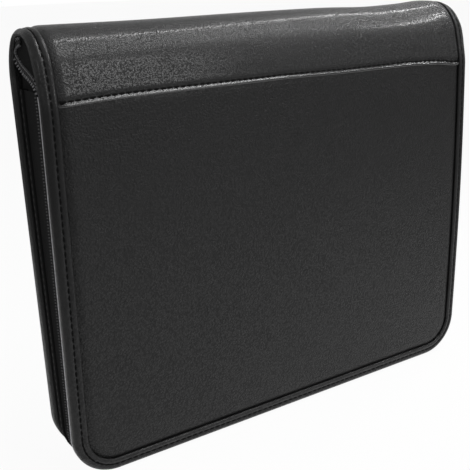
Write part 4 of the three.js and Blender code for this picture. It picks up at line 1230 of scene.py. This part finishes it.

# %% [markdown]
# ## Floor
# The picture is of an object cut out on white, so camera rays see a nearly white floor. Light Path
# tells the rays apart. Glossy rays see the glow only near the folder, so that its leather doesn't
# mirror a white room, and the floor's own colour is paler near the folder than far away: a painted
# pool of light round it.

# %% Floor


def seen_white(tree):
    """One wire that is 1 for camera rays, and one that is 1 for glossy and transmission rays too."""
    path = tree.nodes.new("ShaderNodeLightPath")
    camera_ray = Wire(tree, path.outputs["Is Camera Ray"])
    glossy = Wire(tree, path.outputs["Is Glossy Ray"])
    through = Wire(tree, path.outputs["Is Transmission Ray"])
    return camera_ray, (camera_ray + glossy + through).clamp()


clear_selection()
bpy.ops.mesh.primitive_plane_add(size=12.0, location=(0, 0, 0))
floor = bpy.context.object
floor.name = "floor"
floor_finish = Finish("pale_floor")
away = floor_finish.node("VectorMath", {"operation": "LENGTH"}, {0: floor_finish.place()}, out="Value")
# painted pool of light: the floor colour is pale near the folder and dark far away
pale = floor_finish.ramp((away * 0.9).clamp(), [(0.15, (0.86, 0.86, 0.86)), (0.9, (0.22, 0.22, 0.22))])
floor_finish.feed(Base_Color=pale, Roughness=0.9, Specular_IOR_Level=0.1)
camera_ray, white_ray = seen_white(floor_finish.tree)
near_glow = (1.0 - away * 1.6).clamp() * 0.9 + 0.04
glow = floor_finish.node("Emission", inputs={"Color": (1, 1, 1, 1), "Strength": 1.0})
mixed = floor_finish.node("MixShader", inputs={
    0: (camera_ray * 0.95 + (white_ray - camera_ray) * near_glow).clamp(), 2: glow})
floor_finish.tree.links.new(floor_finish.shader.outputs[0], mixed.socket.node.inputs[1])
floor_finish.tree.links.new(mixed.socket, floor_finish.tree.nodes["Material Output"].inputs[0])
floor.data.materials.append(floor_finish.material)
print("floor:", floor.name, "with", floor_finish.material.name)

# %% [markdown]
# ## Background
# The sky is white for the camera, about half as bright in a mirror image, and dim as a light.

# %% Background
world = bpy.data.worlds.new("studio")
bpy.context.scene.world = world
world.use_nodes = True
background = world.node_tree.nodes["Background"]
camera_sky, sky_white = seen_white(world.node_tree)
background.inputs["Color"].default_value = (1, 1, 1, 1)
sky = (sky_white * 0.3 + camera_sky * 0.45 + 0.25).clamp()
world.node_tree.links.new(sky.socket, background.inputs["Strength"])
print("background:", world.name)

# %% [markdown]
# ## Lamps
# Black leather shows its shape by what it mirrors. A long narrow lamp hangs high beyond the right
# end, for the glint along the crown, and a small one stands near it. A weak one on the left reaches
# the zip end, and two wide soft ones fill the front.

# %% Lamps


def soft_lamp(name, place, target, width, height, watts, turn=0.0):
    data = bpy.data.lights.new(name, "AREA")
    data.shape, data.size, data.size_y, data.energy = "RECTANGLE", width, height, watts
    lamp = bpy.data.objects.new(name, data)
    lamp.location = place
    lamp.rotation_euler = (Vector(target) - Vector(place)).to_track_quat("-Z", "Y").to_euler()
    lamp.rotation_euler.rotate_axis("Z", math.radians(turn))
    bpy.context.scene.collection.objects.link(lamp)
    return lamp


# name, place, target, width, height in metres, and watts
soft_lamp("top_strip", (0.575, 0.06, 1.05), (0.574, 0.06, 0.0), 1.2, 0.06, 6, turn=-60)
soft_lamp("right_softbox", (0.95, -0.33, 1.0), (0.3, -0.1, 0.25), 0.25, 0.04, 2.2)
soft_lamp("fill_softbox", (0.3, -0.45, 1.05), (0, 0, 0.25), 0.8, 0.4, 3)
soft_lamp("left_softbox", (-1.5, -0.5, 0.75), (-0.17, 0, 0.2), 0.25, 0.5, 1.4)
soft_lamp("front_softbox", (0.5, -1.45, 0.75), (0, 0, 0.2), 0.6, 0.7, 6)
bpy.context.scene.view_settings.view_transform = "Standard"

# %% [markdown]
# ## Everything that stays CAD gets its finish
# Boards and wadding are sealed inside. The small metal parts keep their CAD shape, and a bevel
# takes the sharpness off their edges.

# %% Finish the CAD nodes
EDGE_BEVEL, EDGE_ANGLE = 0.2, math.radians(40)
CAD_FINISH = {"board": board_card, "foam": wadding, "lining": lining_cloth, "leather": inner_hide,
              "tape": tape_cloth, "teeth": tooth_plastic, "slider": enamel, "ring_metal": nickel}
slots = {part["node"]: part["material_slot"] for part in frame["record"]["subparts"]}
for name, node in frame["nodes"].items():
    finish = CAD_FINISH[slots[name]]
    node.data.materials.clear()
    node.data.materials.append(finish)
    if slots[name] in ("ring_metal", "slider"):
        edge = node.modifiers.new("worn_edge", "BEVEL")
        edge.width, edge.segments, edge.angle_limit = EDGE_BEVEL * MM, 2, EDGE_ANGLE
print("finished CAD nodes:", len(slots))

# %% [markdown]
